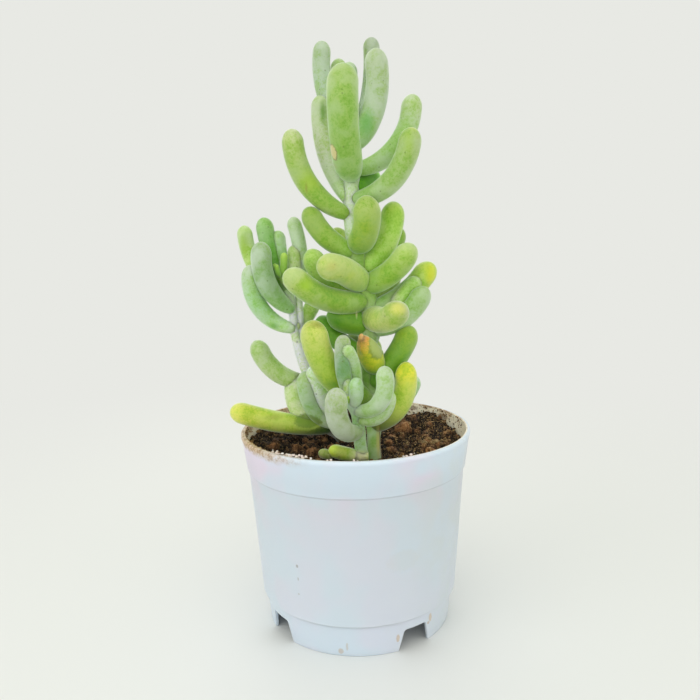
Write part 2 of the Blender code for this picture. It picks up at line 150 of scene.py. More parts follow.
# Crumbs on the rim: at its left, at its back, and of white lime at its front
LEFT_CRUMBS = 230
LEFT_TURN = 212.0
LEFT_SPREAD = 22.0
LEFT_DROP = 1.6
LEFT_SIZES = (0.15, 0.5)
BACK_CRUMBS = 260
BACK_CRUMB_TURNS = (5.0, 120.0)
BACK_DROP = 5.0
BACK_SIZES = (0.12, 0.5)
LIME_SPREAD = 1.8
LIME_RISE = 1.3
LIME_SIZES = (0.22, 0.62)
# Lime at the rim: turn and count of each group
LIME_GROUPS = ((228.0, 14), (236.0, 22), (241.0, 34), (246.0, 12), (257.0, 6), (270.0, 3), (293.0, 9))
# Where the stems end in the soil
STEM_FOOT_Z = 62.0

# Leaves and stems
LEAF_SIDES = 28
# Shares of a leaf's length, each with its share of the full radius, for slim and for thick leaves
LEAF_BODY = ((0.0, 0.54), (0.13, 0.74), (0.38, 0.93), (0.68, 1.0), (1.0, 1.0))
FULL_BODY = ((0.0, 0.52), (0.10, 0.78), (0.22, 0.95), (0.42, 1.0), (1.0, 1.0))
FULL_FROM = 9.75
LEAF_BODY_ROWS = 22
LEAF_CAP_ROWS = 9
LEAF_CAP_END = 86.0
LEAF_CAP_LENGTH = 1.25
LEAF_WIDTH_SHARE = 1.05
LEAF_FULLNESS = 0.985
LEAF_UNEVEN = 0.014
LEAF_CREST = 0.05
LEAF_TINT_SHIFT = 0.05
# Shares of the length over which the root's colour fades and the tip's comes in
LEAF_ROOT_FADE = (0.0, 0.5)
LEAF_TIP_FADE = (0.55, 1.0)
# A leaf's own tone in red, in blue and in all
LEAF_RED = (0.93, 1.07)
LEAF_BLUE = (0.9, 1.1)
LEAF_LIGHT = (1.0, 1.1)
RING_COUNT = 13.0
RING_RELIEF = 0.04
RING_FADE = (0.22, 0.42)
RING_SHADE = 0.4
SHRUNK_TIP = 0.36
FOLD_RELIEF = 0.06
TWIST_RELIEF = 0.035
LUMP_RELIEF = 0.05
WOBBLE_WAVES = 6
WOBBLE_SCALE = 3.2
STEM_SIDES = 36
STEM_ROW = 0.9
STEM_LEAST_ROWS = 8
STEM_UNEVEN = 0.03
STEM_BLOOM = 0.8
NODE_REACH = 2.6
NODE_SWELL = 0.45
LEVEL_FADE = 7.0
LEVEL_UNEVEN = 5.0
# How tall the uneven patches are in a stem's colour and in its form
TINT_WAVE = 40.0
STEM_WAVE = 30.0
STUB_ROWS = 16
STUB_STOPS = (0.0, 0.55, 1.0)
STUB_UNEVEN = 0.04
STUB_BLOOM = 0.2

# Stem centre lines: x, y, z and radius
MAIN_STEM = (
    (7.6, -19.0, STEM_FOOT_Z, 2.8),
    (7.6, -19.0, 80.0, 2.8),
    (7.4, -16.0, 89.0, 2.8),
    (6.3, -12.0, 106.0, 3.1),
    (6.3, -9.0, 121.0, 3.7),
    (6.3, -6.0, 134.0, 4.1),
    (6.0, -5.0, 143.0, 4.0),
    (4.0, -4.0, 152.0, 3.6),
    (2.0, -3.0, 163.0, 3.4),
    (0.7, -1.0, 174.0, 3.3),
    (0.7, 0.0, 184.0, 3.3),
    (1.2, 1.0, 196.0, 3.1),
    (1.4, 2.0, 206.0, 2.6),
    (1.0, 3.0, 216.0, 2.0),
)
LEFT_STEM = (
    (-7.0, 0.0, STEM_FOOT_Z, 2.3),
    (-7.0, 0.0, 81.4, 2.3),
    (-9.6, 0.2, 84.6, 2.4),
    (-12.2, 0.5, 88.4, 2.5),
    (-15.6, 1.0, 97.0, 2.6),
    (-19.4, 2.0, 107.5, 2.6),
    (-21.6, 2.4, 113.5, 2.5),
    (-23.3, 2.8, 119.5, 2.5),
    (-25.2, 3.2, 127.0, 1.9),
    (-26.0, 3.8, 136.0, 1.7),
    (-26.9, 4.0, 143.0, 1.8),
    (-29.2, 4.0, 148.0, 2.0),
    (-31.2, 4.0, 153.0, 1.8),
)
LEFT_TWIN_STEM = (
    (-19.6, 2.0, 108.0, 1.5),
    (-21.6, 3.2, 117.0, 1.8),
    (-22.8, 4.4, 127.0, 1.6),
    (-23.1, 5.6, 138.0, 1.6),
    (-23.6, 8.0, 151.0, 1.5),
)
FRONT_STEM = (
    (2.4, -26.5, STEM_FOOT_Z, 2.6),
    (2.4, -26.5, 80.0, 2.6),
    (1.8, -27.0, 87.0, 2.6),
    (1.4, -28.0, 93.0, 2.5),
    (0.6, -29.0, 99.0, 2.2),
    (-1.2, -29.5, 105.0, 1.8),
)
FRONT_STUB = (
    (5.0, -27.5, 81.0, 1.7),
    (1.5, -27.7, 81.3, 2.2),
    (-1.0, -27.7, 81.5, 2.1),
)
STEM_SPOTS = tuple(stem[0][:2] for stem in (MAIN_STEM, LEFT_STEM, FRONT_STEM))

# Leaf colours at the root, the middle and the tip, and how much pale wax is left on the leaf; some looks
# carry painted light and some painted shade, where noted
LEAF_LOOKS = {
    "fresh": ((144, 182, 76), (150, 184, 72), (176, 198, 112), 0.3),
    "sunned": ((142, 180, 84), (146, 180, 84), (162, 186, 100), 0.35),
    "grass": ((158, 196, 94), (148, 178, 72), (138, 168, 60), 0.15),
    # A lighter copy of grass: painted light for leaves that stand in shade
    "meadow": ((184, 214, 110), (178, 206, 94), (178, 202, 82), 0.15),
    "lime": ((156, 188, 110), (164, 186, 120), (166, 184, 108), 0.45),
    "soft": ((162, 198, 118), (160, 194, 128), (172, 194, 140), 0.6),
    "ripe": ((152, 186, 84), (172, 196, 88), (176, 194, 102), 0.25),
    "pale_blue": ((174, 204, 146), (176, 202, 156), (170, 192, 146), 0.75),
    "deep": ((114, 160, 50), (116, 162, 24), (150, 178, 44), 0.1),
    "shade": ((114, 168, 32), (108, 158, 26), (92, 148, 10), 0.0),
    "yellow_tip": ((156, 190, 108), (158, 194, 92), (204, 212, 78), 0.3),
    # Its root is darkened as painted shade, deep among the leaves
    "yellow": ((92, 110, 30), (188, 208, 84), (214, 214, 40), 0.1),
    "blue_green": ((164, 202, 138), (158, 196, 138), (172, 198, 150), 0.8),
    "blue_deep": ((126, 176, 84), (118, 172, 84), (146, 186, 116), 0.4),
    "stripe": ((180, 206, 126), (196, 216, 152), (178, 202, 132), 0.5),
    "frost": ((166, 194, 136), (170, 196, 150), (180, 202, 160), 0.9),
    "frost_soft": ((154, 180, 120), (152, 166, 122), (194, 200, 184), 0.85),
    "frost_deep": ((220, 240, 180), (114, 154, 114), (168, 180, 162), 0.7),
    # Real pale wax, with the middle lightened as painted light where the leaf lies in shade
    "chalk": ((134, 174, 84), (214, 224, 188), (204, 218, 192), 0.85),
    "olive": ((110, 150, 46), (162, 192, 62), (192, 202, 102), 0.1),
    "amber": ((120, 164, 44), (214, 216, 40), (232, 158, 84), 0.0),
    "rust": ((234, 200, 60), (236, 170, 78), (222, 172, 118), 0.0),
    "bean": ((194, 204, 158), (172, 184, 76), (198, 214, 60), 0.1),
    "bud": ((150, 196, 92), (160, 206, 84), (176, 210, 88), 0.1),
    "cool": ((168, 200, 146), (166, 188, 156), (160, 180, 142), 0.75),
    "vivid": ((142, 176, 66), (146, 174, 40), (182, 194, 116), 0.2),
    # Its tip is lightened as painted light, against the shade this leaf stands in
    "leafy": ((104, 166, 8), (98, 154, 2), (168, 226, 20), 0.0),
    # Near white: painted light for a small leaf that lies in shade between others
    "spring": ((226, 250, 200), (230, 252, 206), (228, 248, 206), 0.1),
    "worn": ((180, 206, 116), (186, 202, 142), (172, 192, 126), 0.4),
    "sage": ((170, 200, 136), (178, 204, 150), (158, 186, 116), 0.55),
    "dusty": ((184, 208, 150), (200, 204, 178), (168, 186, 124), 0.6),
    "fresh_pale": ((156, 190, 92), (152, 184, 84), (184, 200, 144), 0.3),
    "ring": ((116, 146, 50), (186, 204, 100), (170, 186, 122), 0.25),
    "haze": ((214, 232, 196), (170, 202, 154), (180, 196, 162), 0.8),
    "dusk": ((166, 202, 144), (150, 180, 136), (164, 182, 152), 0.8),
    # Its middle is lightened as painted light where the leaf lies in shade
    "chalk_blue": ((136, 188, 112), (226, 250, 226), (212, 226, 222), 0.6),
    "slate": ((168, 200, 146), (166, 188, 156), (142, 160, 124), 0.6),
    "mint": ((206, 226, 176), (188, 208, 176), (190, 210, 188), 0.9),
    "olive_bud": ((140, 150, 84), (150, 160, 96), (168, 172, 120), 0.2),
    "young": ((150, 184, 108), (168, 198, 132), (176, 204, 140), 0.5),
    # Its root is darkened nearly to black as painted shade, where it lies low among the shoots
    "rest": ((50, 80, 12), (192, 214, 92), (206, 212, 90), 0.1),
}
STEM_WAX = (218, 230, 212)
STEM_PALE = (230, 228, 240)
STEM_GREEN = (154, 188, 96)
STEM_OLIVE = (140, 176, 92)
STEM_BASE = (206, 196, 150)
# Dark brown for the left stem's foot: painted shade, so that the foot sinks into the shaded soil
STEM_FOOT_SHADE = (70, 54, 38)
STEM_FROST = (172, 204, 160)
STUB_COLOUR = (200, 202, 158)

# Stem colours: from each height up to the next
MAIN_STEM_LEVELS = ((60.0, STEM_BASE), (75.0, STEM_OLIVE), (124.0, STEM_GREEN), (166.0, STEM_WAX))
LEFT_STEM_LEVELS = ((60.0, STEM_FOOT_SHADE), (88.0, STEM_PALE), (144.0, STEM_GREEN))
FRONT_STEM_LEVELS = ((60.0, STEM_BASE), (77.0, STEM_FROST))

# Leaves: height on the stem, turn, length, rise at the root, rise at the tip, thickness, look
# A turn of 0 points to +X, 90 to +Y at the back, 180 to -X and 270 to the front
MAIN_LEAVES = (
    (208, 150, 45, 42, 104, 7.5, "cool"),
    (194, 262, 52.3, 8, 127, 11.8, "sunned"),
    (204, 109, 45, 30, 112, 7.0, "pale_blue"),
    (204, 93, 38.3, 53, 107, 6.8, "pale_blue"),
    (208, 50, 46.95, 44, 100, 7.0, "slate"),
    (205, 17, 43, 45, 106, 9.8, "cool"),
    (196, 5, 44, 3, 97, 9.0, "soft"),
    (184, -28, 43, -2, 92, 9.5, "lime"),
    (177.5, 192, 46, 15, 97, 9.2, "fresh_pale"),
    (182, 155, 48, 50, 98, 7.8, "dusty"),
    (189, 50, 18, 0, 45, 9.4, "leafy"),
    (165.5, 296, 26, 0, 130, 11.0, "vivid"),
    (154, 25, 35, 26, 97, 10.2, "meadow"),
    (152, 45, 33, 8, 71, 8.7, "deep"),
    (148, -25, 29, 13, 65, 10.3, "fresh"),
    (162, 185, 29, 14, 75, 9.2, "grass"),
    (163, 130, 17, 14, 50, 7.0, "meadow"),
    (148, 235, 31, 36, 3, 11.4, "ripe"),
    (145, 192, 32.6, -3, 85, 9.7, "fresh"),
    (142, 213, 42, -7, 50, 10.4, "fresh"),
    (136.5, -59, 28, -23, 49, 10.8, "ring"),
    (137, 12, 36, 9, 61, 10.2, "yellow_tip"),
    (138, 3, 27, -2, 66, 8.0, "stripe"),
    (130, -8, 32, 0, 73, 9.2, "sage"),
    (133, 190, 18, -10, 50, 10.8, "shade"),
    (120, 160, 28, 5, 66, 8.5, "shade"),
    (118, 300, 9.5, 10, 55, 7.3, "deep"),
    (107, 5, 31, 34, 75, 10.1, "deep"),
    (113, 84, 24, -9, 67, 8.8, "fresh"),
    (101, 207, 47, 18, 92, 11.4, "olive"),
    (90, -15, 34, 22, 106, 9.5, "yellow"),
    (89, 14, 29.2, 30, 66, 7.3, "blue_green"),
)
LEFT_LEAVES = (
    (142, 165, 40.3, 24, 93, 6.9, "stripe"),
    (129.5, 190, 37.2, 10, 108, 8.0, "haze"),
    (138, 212, 34.8, 26, 108, 8.9, "dusk"),
    (146, 147, 33.8, 57, 84, 7.8, "blue_deep"),
    (148, 112, 24.8, 66, 82, 6.3, "blue_green"),
    (106, 188, 33, -1, 82, 8.7, "worn"),
    (85.5, 191, 45.6, 6, 23, 9.4, "rest"),
    (86, 178, 33.5, 0, 122, 9.2, "chalk"),
    (86, 210, 30, 36, 97, 8.6, "haze"),
    (87, 234, 30, 62, 78, 7.8, "chalk_blue"),
)
LEFT_TWIN_LEAVES = (
    (146, 150, 32, 106, 66, 6.3, "pale_blue"),
    (146, 240, 20, 70, 107, 7.0, "stripe"),
    (121, 20, 22, 20, 62, 9.0, "shade"),
)
FRONT_LEAVES = (
    (92, 234, 30, -10, 125, 8.6, "frost_soft"),
    (101, -38, 29, -10, 119, 7.0, "frost"),
    (97.5, -14, 21, -20, 108, 6.8, "frost"),
    (103, 192, 29, 66, 102, 6.3, "frost_deep"),
    (103, 240, 27, 119, 36, 5.2, "frost"),
    (105, 222, 11, 50, 103, 3.8, "spring"),
    (103, 290, 13, 37, 115, 5.6, "mint"),
)

# Leaves of the main shoot that differ from a plain club, by their place in the list
MAIN_FORMS = {20: "ringed", 26: "ringed", 30: "lumpy"}

# Leaves with a root of their own: root, then the same values as above without the height
WITHERED_LEAF = ((9.4, -12.5, 113.0), 238, 20, 62, 46, 9.8, "amber")
WITHERED_TIP = ((4.4, -20.6, 125.0), 226, 5.8, 62, 84, 3.4, "rust")
SOIL_LEAF = ((1.0, -27.6, 81.4), 180, 12.5, 6, 22, 5.8, "bean")
LEFT_BUDS = (
    ((-30.3, 3.6, 152.0), 300, 11.5, 50, 92, 3.2, "bud"),
    ((-30.6, 3.0, 152.2), 250, 7.0, 30, 80, 2.2, "bud"),
    ((-31.0, 3.8, 152.4), 200, 6.0, 55, 85, 1.8, "bud"),
    ((-30.4, 4.6, 152.4), 60, 8.0, 60, 88, 2.2, "bud"),
    ((-23.6, 7.4, 150.2), 300, 6.0, 40, 85, 2.0, "bud"),
    ((-23.8, 8.4, 150.4), 100, 8.0, 60, 88, 2.2, "bud"),
)
FRONT_BUDS = (
    ((-9.4, -26.6, 81.4), 190, 6.2, 8, 30, 4.2, "olive_bud"),
    ((-1.9, -30.4, 104.2), 262, 4.5, 20, 85, 1.9, "bud"),
    ((-1.3, -30.2, 104.4), 310, 4.2, 40, 88, 1.6, "bud"),
    ((-2.6, -30.0, 104.6), 200, 4.0, 50, 88, 1.6, "bud"),
    ((-2.0, -29.2, 104.4), 60, 16.0, 48, 86, 4.0, "frost"),
)
MAIN_BUDS = (
    ((1.2, 2.4, 214.0), 330, 9.6, 66, 76, 2.4, "bud"),
    ((1.0, 2.6, 214.0), 300, 12.0, 62, 92, 3.2, "young"),
    ((0.6, 3.6, 214.0), 160, 11.0, 66, 90, 3.0, "young"),
    ((1.4, 3.4, 214.0), 40, 9.0, 60, 90, 2.6, "young"),
)

# The side away from the photograph carries on the same spiral
GOLDEN_TURN = 137.5
BACK_TURNS = (48.0, 121.0)
BACK_SEED = 11
BACK_LENGTHS = (0.92, 1.06)
BACK_ROOT_RISES = (0.0, 18.0)
BACK_TIP_RISES = (72.0, 94.0)
# From and up to which height, step, first turn, shortest and longest leaf, thickness
MAIN_SPIRAL = (94.0, 196.0, 3.3, 285.0, 28.0, 36.0, 9.0)
LEFT_SPIRAL = (92.0, 146.0, 3.8, 120.0, 24.0, 30.0, 7.0)
BACK_LOOKS = ("fresh", "lime", "deep", "fresh", "pale_blue")
LEFT_BACK_LOOKS = ("blue_green", "blue_deep", "stripe")

# Marks on the leaves: place, half sizes, colour, strength
MAIN_MARKS = (
    ((-5.2, -13.2, 197.4), (1.3, 1.6, 2.0), (150, 156, 76), 0.6),
    ((-15.4, -8.6, 192.0), (5.0, 4.0, 5.0), (168, 198, 50), 0.55),
    ((-17.5, -8.4, 189.0), (0.6, 1.6, 2.6), (146, 132, 56), 0.5),
    ((25.9, -14.4, 212.0), (3.0, 4.0, 3.2), (196, 206, 66), 0.5),
    ((23.6, -17.2, 205.0), (2.2, 4.0, 5.0), (160, 192, 64), 0.5),
    ((-10.2, 1.7, 219.6), (1.5, 3.0, 5.0), (104, 152, 44), 0.8),
    ((7.4, -1.2, 214.4), (4.0, 4.0, 7.0), (110, 176, 88), 0.75),
    ((-17.9, -26.9, 151.0), (3.2, 4.0, 3.0), (160, 198, 34), 0.8),
    ((-7.6, -28.5, 158.0), (2.6, 4.0, 2.2), (184, 178, 84), 0.4),
    ((0.1, -21.2, 154.0), (2.4, 3.0, 2.2), (178, 198, 66), 0.5),
    ((17.7, -28.9, 141.3), (4.0, 4.0, 3.4), (216, 214, 92), 0.65),
    ((33.4, -4.7, 152.4), (3.0, 5.0, 6.0), (206, 211, 34), 0.8),
    ((-13.8, -27.8, 135.4), (4.0, 4.0, 1.6), (134, 116, 40), 0.45),
    # Painted shade: a darker green patch low among the leaves, where they lie in shade
    ((-9.0, -25.9, 110.0), (3.0, 3.0, 4.0), (104, 148, 40), 0.6),
    ((2.2, -22.0, 129.4), (1.6, 3.0, 1.8), (226, 160, 70), 0.7),
    ((9.3, -20.0, 85.0), (1.0, 3.0, 9.0), (182, 176, 92), 0.7),
    # Painted shadow: a dark strip on the right side of the main stem, by the withered leaf's root
    ((8.6, -9.6, 111.0), (1.0, 2.4, 3.2), (52, 66, 30), 0.8),
    ((1.6, -10.9, 137.9), (0.5, 1.8, 4.0), (226, 214, 170), 0.7),
)
# Crisp marks: the healed cut as a dark edge and its dry skin, a brown line on the stem, and the olive
# sleeve behind the withered leaf as a dark edge and its face
CUT_MARKS = (
    ((-5.9, -17.8, 202.2), (1.9, 3.0, 4.5), (120, 112, 48), 0.9),
    ((-5.9, -17.8, 202.3), (1.45, 2.8, 3.9), (208, 196, 138), 1.0),
    ((10.1, -19.4, 85.0), (0.35, 2.0, 9.0), (124, 92, 44), 0.8),
    ((10.0, -21.0, 125.4), (4.4, 6.0, 6.2), (128, 152, 58), 0.9),
    ((10.5, -21.0, 125.8), (4.2, 6.0, 5.8), (172, 188, 104), 0.9),
)
LEFT_MARKS = (
    ((-46.2, 5.5, 166.0), (2.6, 4.0, 7.0), (138, 176, 24), 0.75),
    ((-33.9, -1.0, 131.5), (2.4, 4.0, 1.7), (112, 176, 62), 0.7),
    ((-24.4, 0.9, 124.0), (0.5, 1.6, 0.7), (98, 108, 74), 0.7),
    ((-34.0, -10.0, 93.4), (5.0, 4.0, 1.6), (116, 116, 34), 0.35),
    ((-22.6, -4.0, 92.2), (0.8, 3.0, 0.8), (170, 146, 96), 0.7),
)
# The clasping base of the leaf that lies over the rim, as its pale edge and then painted shade for its dark
# green hollow
BASE_EDGE_AND_SHADE_MARKS = (
    ((-20.6, -5.0, 89.3), (6.6, 6.0, 3.4), (178, 204, 92), 0.6),
    ((-20.6, -5.0, 90.3), (6.2, 6.0, 3.3), (98, 134, 32), 0.65),
)
FRONT_MARKS = (
    ((-6.9, -30.2, 81.9), (0.6, 1.6, 0.5), (120, 84, 40), 0.6),
    ((1.4, -30.6, 82.0), (1.6, 1.6, 0.8), (206, 160, 136), 0.5),
    ((1.6, -29.5, 81.4), (4.6, 5.0, 2.8), (222, 226, 166), 0.9),
)

# Marks on the pot: place, half sizes, colour, strength
POT_MARKS = (
    ((15.3, -37.8, 6.5), (0.8, 2.0, 2.0), (200, 172, 128), 0.6),
    ((29.4, -28.7, 10.4), (0.8, 2.0, 2.2), (200, 172, 128), 0.6),
    ((28.6, -29.6, 8.2), (0.6, 1.5, 0.8), (180, 140, 90), 0.5),
    ((-8.2, -39.5, 2.3), (1.2, 2.0, 1.4), (186, 160, 120), 0.5),
    ((-5.6, -39.8, 4.6), (0.5, 2.0, 2.0), (186, 164, 130), 0.4),
    ((-24.9, -37.3, 38.8), (0.55, 1.2, 0.7), (140, 134, 128), 0.6),
    ((-24.7, -36.9, 33.0), (0.35, 1.2, 0.8), (150, 148, 142), 0.45),
    ((-24.7, -36.4, 26.1), (0.5, 1.2, 0.5), (160, 160, 156), 0.4),
    ((18.0, -41.8, 42.0), (8.0, 6.0, 5.0), (206, 204, 200), 0.18),
)
# Marks that show only on the inner side of the rim
RIM_MARKS = (
    ((41.6, 23.6, 83.0), (5.0, 4.0, 1.3), (118, 84, 52), 0.6),
    ((27.0, 39.4, 83.6), (6.0, 4.0, 1.2), (118, 84, 52), 0.6),
)

# Looks of the pot and the soil
POT_COLOUR = (205, 219, 235)
POT_LAVENDER = (220, 210, 230)
POT_GREY = (206, 217, 224)
RIM_TAN = (192, 166, 126)
RIM_BROWN = (140, 110, 78)
# Cream of the inner wall, made lighter as painted light in the shade inside the pot
RIM_INSIDE_CREAM_LIT = (246, 234, 212)
RIM_CREAM = (240, 228, 202)
SOIL_DARK = (34, 25, 18)
SOIL_MIDDLE = (142, 100, 64)
SOIL_LIGHT = (212, 176, 122)
CRUMB_LOOKS = ((50, 34, 24), (80, 56, 38), (108, 76, 50), (134, 98, 64), (168, 132, 88))
SOIL_SHADE = (0.34, 0.31, 0.28)
CRUMB_SHADE = (0.6, 0.55, 0.5)
DRY_LOOKS = ((150, 108, 70), (176, 144, 98), (198, 170, 124))
LIME_CRUMBS = ((240, 236, 232), (236, 220, 214), (226, 214, 200))
# Where the tints of the pot, the rim and the soil change, in metres along X, Y or Z
POT_RIGHT_X = (0.005, 0.045)
POT_UPPER_Z = (0.055, 0.08)
RIM_INSIDE_Z = (0.075, 0.078)
RIM_BACK_Y = (-0.02, 0.02)
CRUST_Z = (0.0835, 0.0865)
CRUST_X = (-0.042, -0.014)
CRUST_RAGGED = 0.004
# Dry bits are half as strong at the left, as painted shadow of the leaves there
SOIL_DRY_AND_LIT_X = (-0.005, 0.02)
# Painted shade as thin darker lines at the steps of the collar and the foot: height in millimetres and
# colour
POT_STEP_SHADE_LINES = ((COLLAR_BOTTOM_Z - 0.45, (176, 184, 196)), (FOOT_TOP_Z + 0.35, (180, 190, 200)))

# Looks of the leaf skin
RUBBED_GREEN = (0.72, 0.88, 0.34)
MOTTLE_GREEN = (0.8, 0.92, 0.55)
GRAIN_GREEN = (0.72, 0.89, 0.42)
BLOOM_COLOUR = (204, 216, 204)
PORE_COLOUR = (92, 112, 40)
PORE_SCALE = 420.0
PORE_EDGE = (0.10, 0.2)
PORE_CHANCE = (0.82, 0.9)
PORE_STRENGTH = 0.55
# From thin to thick wax, where the mottling gets weaker
WAX_SPAN = (0.3, 0.9)

# Noises: scale, detail, roughness
MARK_NOISE = (900.0, 2.0)
LEAF_BROAD = (105.0, 2.0)
LEAF_MOTTLE = (420.0, 4.0, 0.65)
LEAF_FINE = (1500.0, 3.0, 0.6)
LEAF_GRAIN = (950.0, 3.0, 0.7)
POT_BROAD = (34.0, 2.0)
POT_CLOUD = (70.0, 3.0)
POT_FINE = (900.0, 4.0, 0.6)
RIM_COARSE = (160.0, 4.0, 0.7)
RIM_GRAIN = (620.0, 4.0, 0.75)
SOIL_BROAD = (130.0, 2.0)
SOIL_COARSE = (330.0, 5.0, 0.7)
SOIL_GRAIN = (1000.0, 5.0, 0.8)
CRUMB_GRAIN = (1600.0, 4.0, 0.7)

# Bumps: strength and distance in metres
LEAF_BUMP = (0.35, 0.00012)
POT_BUMP = (0.12, 0.00015)
SOIL_BUMP = (1.0, 0.0008)
CRUMB_BUMP = (0.6, 0.0003)

# Edges of marks: how soft and how ragged
SOFT_EDGE = (0.85, 0.2)
CRISP_EDGE = (0.2, 0.3)
RAGGED_EDGE = (0.3, 0.35)

# Values that are the same all over a surface
LEAF_SOCKETS = {
    "Subsurface Weight": 0.7,
    "Subsurface Radius": (0.9, 0.9, 0.7),
    "Subsurface Scale": 0.0028,
    "Sheen Weight": 0.6,
    "Sheen Roughness": 0.46,
    "Sheen Tint": (0.88, 0.94, 0.92),
    "Specular IOR Level": 0.4,
}
POT_SOCKETS = {"Subsurface Weight": 0.6, "Subsurface Radius": (0.85, 0.9, 1.0), "Subsurface Scale": 0.004}
SOIL_SOCKETS = {"Specular IOR Level": 0.3}
FLOOR_SOCKETS = {"Roughness": 0.55, "Specular IOR Level": 0.2}

# Room
BACKDROP_COLOUR = (232, 233, 228)
FLOOR_COLOUR = (227, 229, 226)
FLOOR_RADIUS = 2.5
FLOOR_SIDES = 96
FLOOR_FADE = (0.10, 0.55)
WORLD_STRENGTH = 1.0
LIGHT_AIM = (0.0, 0.0, 0.13)
LIGHT_COLOUR = (1.0, 0.985, 0.96)
# Soft lights: name, place, size, power
LIGHTS = (
    ("key", (-0.15, -0.45, 1.1), 1.2, 2.4),
    ("fill_front", (0.0, -1.0, 0.25), 1.0, 1.8),
    ("fill_left", (-0.75, -0.55, 0.30), 0.9, 1.8),
    ("fill_right", (0.8, -0.5, 0.30), 0.9, 1.0),
    ("fill_back", (-0.1, 0.9, 0.55), 0.9, 1.6),
)


def linear(colour):
    """An sRGB colour with parts from 0 to 255, as the linear values that a shader takes."""
    parts = []
    for part in colour:
        share = part / 255.0
        parts.append(share / 12.92 if share <= 0.04045 else ((share + 0.055) / 1.055) ** 2.4)
    return np.array(parts)


def smooth_step(low, high, values):
    share = np.clip((values - low) / (high - low), 0.0, 1.0)
    return share * share * (3.0 - 2.0 * share)


def over_grid(function, x, y):
    """The value of a function of x and y at every point of a grid."""
    return np.array([[function(a, b) for a, b in zip(*pair)] for pair in zip(x, y)])


def round_place(reach, turn, *others):
    """The x and y of a point at a reach and a turn, and what else is given after them."""
    return reach * math.cos(turn), reach * math.sin(turn), *others


def add_object(name, data):
    made = bpy.data.objects.new(name, data)
    bpy.context.scene.collection.objects.link(made)
    return made


def add_shape(name, shape):
    """Makes an object of a bmesh and frees it."""
    mesh = bpy.data.meshes.new(name)
    shape.to_mesh(mesh)
    shape.free()
    return add_object(name, mesh)


class Patch:
    """Points, faces and their colours, gathered before they become one mesh."""

    def __init__(self):
        self.points = []
        self.faces = []
        self.tints = []
        self.waxes = []
        self.count = 0

    def add(self, points, faces, tints, wax):
        points = np.asarray(points, float)
        self.points.append(points)
        self.faces.extend([tuple(int(k) + self.count for k in face) for face in faces])
        self.tints.append(np.broadcast_to(tints, (len(points), 3)))
        self.waxes.append(np.broadcast_to(wax, (len(points),)))
        self.count += len(points)

    def make(self, name):
        """Makes an object with the colour attributes that its material reads."""
        mesh = bpy.data.meshes.new(name)
        points = np.concatenate(self.points) + np.array((POT_X, 0.0, 0.0))
        mesh.from_pydata((points * MM).tolist(), [], self.faces)
        tint = mesh.attributes.new("tint", "FLOAT_COLOR", "POINT")
        colours = np.concatenate([np.concatenate(self.tints), np.ones((len(points), 1))], axis=1)
        tint.data.foreach_set("color", colours.astype(np.float32).ravel())
        wax = mesh.attributes.new("wax", "FLOAT", "POINT")
        wax.data.foreach_set("value", np.concatenate(self.waxes).astype(np.float32))
        mesh.shade_smooth()
        return add_object(name, mesh)


def sharpen(made, degrees):
    """Keeps edges sharper than an angle from being shaded smooth."""
    made.data.set_sharp_from_angle(angle=math.radians(degrees))


def dress(made, look, node=None):
    """The piece gets its material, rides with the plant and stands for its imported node."""
    made.data.materials.append(look)
    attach(made, "root")
    if node is not None:
        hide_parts(node)


def tube_faces(rows, sides, last_cap=True):
    """The faces of a tube of rings, with a flat cap at the start and, if asked, at the end."""
    faces = []
    for low in range(0, (rows - 1) * sides, sides):
        high = low + sides
        for k in range(sides):
            after = (k + 1) % sides
            faces.append((low + k, low + after, high + after, high + k))
    faces.append(tuple(reversed(range(sides))))
    if last_cap:
        faces.append(tuple(range((rows - 1) * sides, rows * sides)))
    return faces


def wobble(draw, shares, angles, fine=1.0):
    """A smooth uneven field over a tube, about -1 to 1, that closes on itself round the tube."""
    field = np.zeros(np.broadcast(shares, angles).shape)
    for _ in range(WOBBLE_WAVES):
        along = draw.uniform(0.5, 3.2) * fine
        waves = draw.choice((0, 1, 1, 2, 3))
        start = draw.uniform(0.0, math.tau)
        field = field + np.sin(math.tau * along * shares + waves * angles + start)
    return field / WOBBLE_SCALE


def hermite(keys, values, slopes, wanted):
    """A cubic curve through values at keys, with the given slopes there."""
    cell = np.clip(np.searchsorted(keys, wanted, side="right") - 1, 0, len(keys) - 2)
    width = keys[cell + 1] - keys[cell]
    t = (wanted - keys[cell]) / width
    rise = values[cell] * (2 * t**3 - 3 * t**2 + 1) + values[cell + 1] * (3 * t**2 - 2 * t**3)
    return rise + width * (slopes[cell] * (t**3 - 2 * t**2 + t) + slopes[cell + 1] * (t**3 - t**2))


def curve_through(stops, wanted):
    """A smooth curve through pairs of key and value that never overshoots them."""
    keys, values = np.array(stops).T
    steps = np.diff(values) / np.diff(keys)
    slopes = np.concatenate([[steps[0]], 0.5 * (steps[1:] + steps[:-1]), [steps[-1]]])
    flat = np.concatenate([[False], steps[1:] * steps[:-1] <= 0.0, [False]])
    slopes[flat] = 0.0
    slopes = np.minimum(slopes, 3.0 * np.minimum(np.append(steps, steps[-1]), np.append(steps[0], steps)))
    return hermite(keys, values, slopes, wanted)


def point_on(line, z):
    """The centre of a stem at a height."""
    for low, high in zip(line, line[1:]):
        if low[2] <= z <= high[2]:
            share = (z - low[2]) / (high[2] - low[2])
            return np.array(low[:3]) + share * (np.array(high[:3]) - np.array(low[:3]))
    return np.array(line[-1][:3])


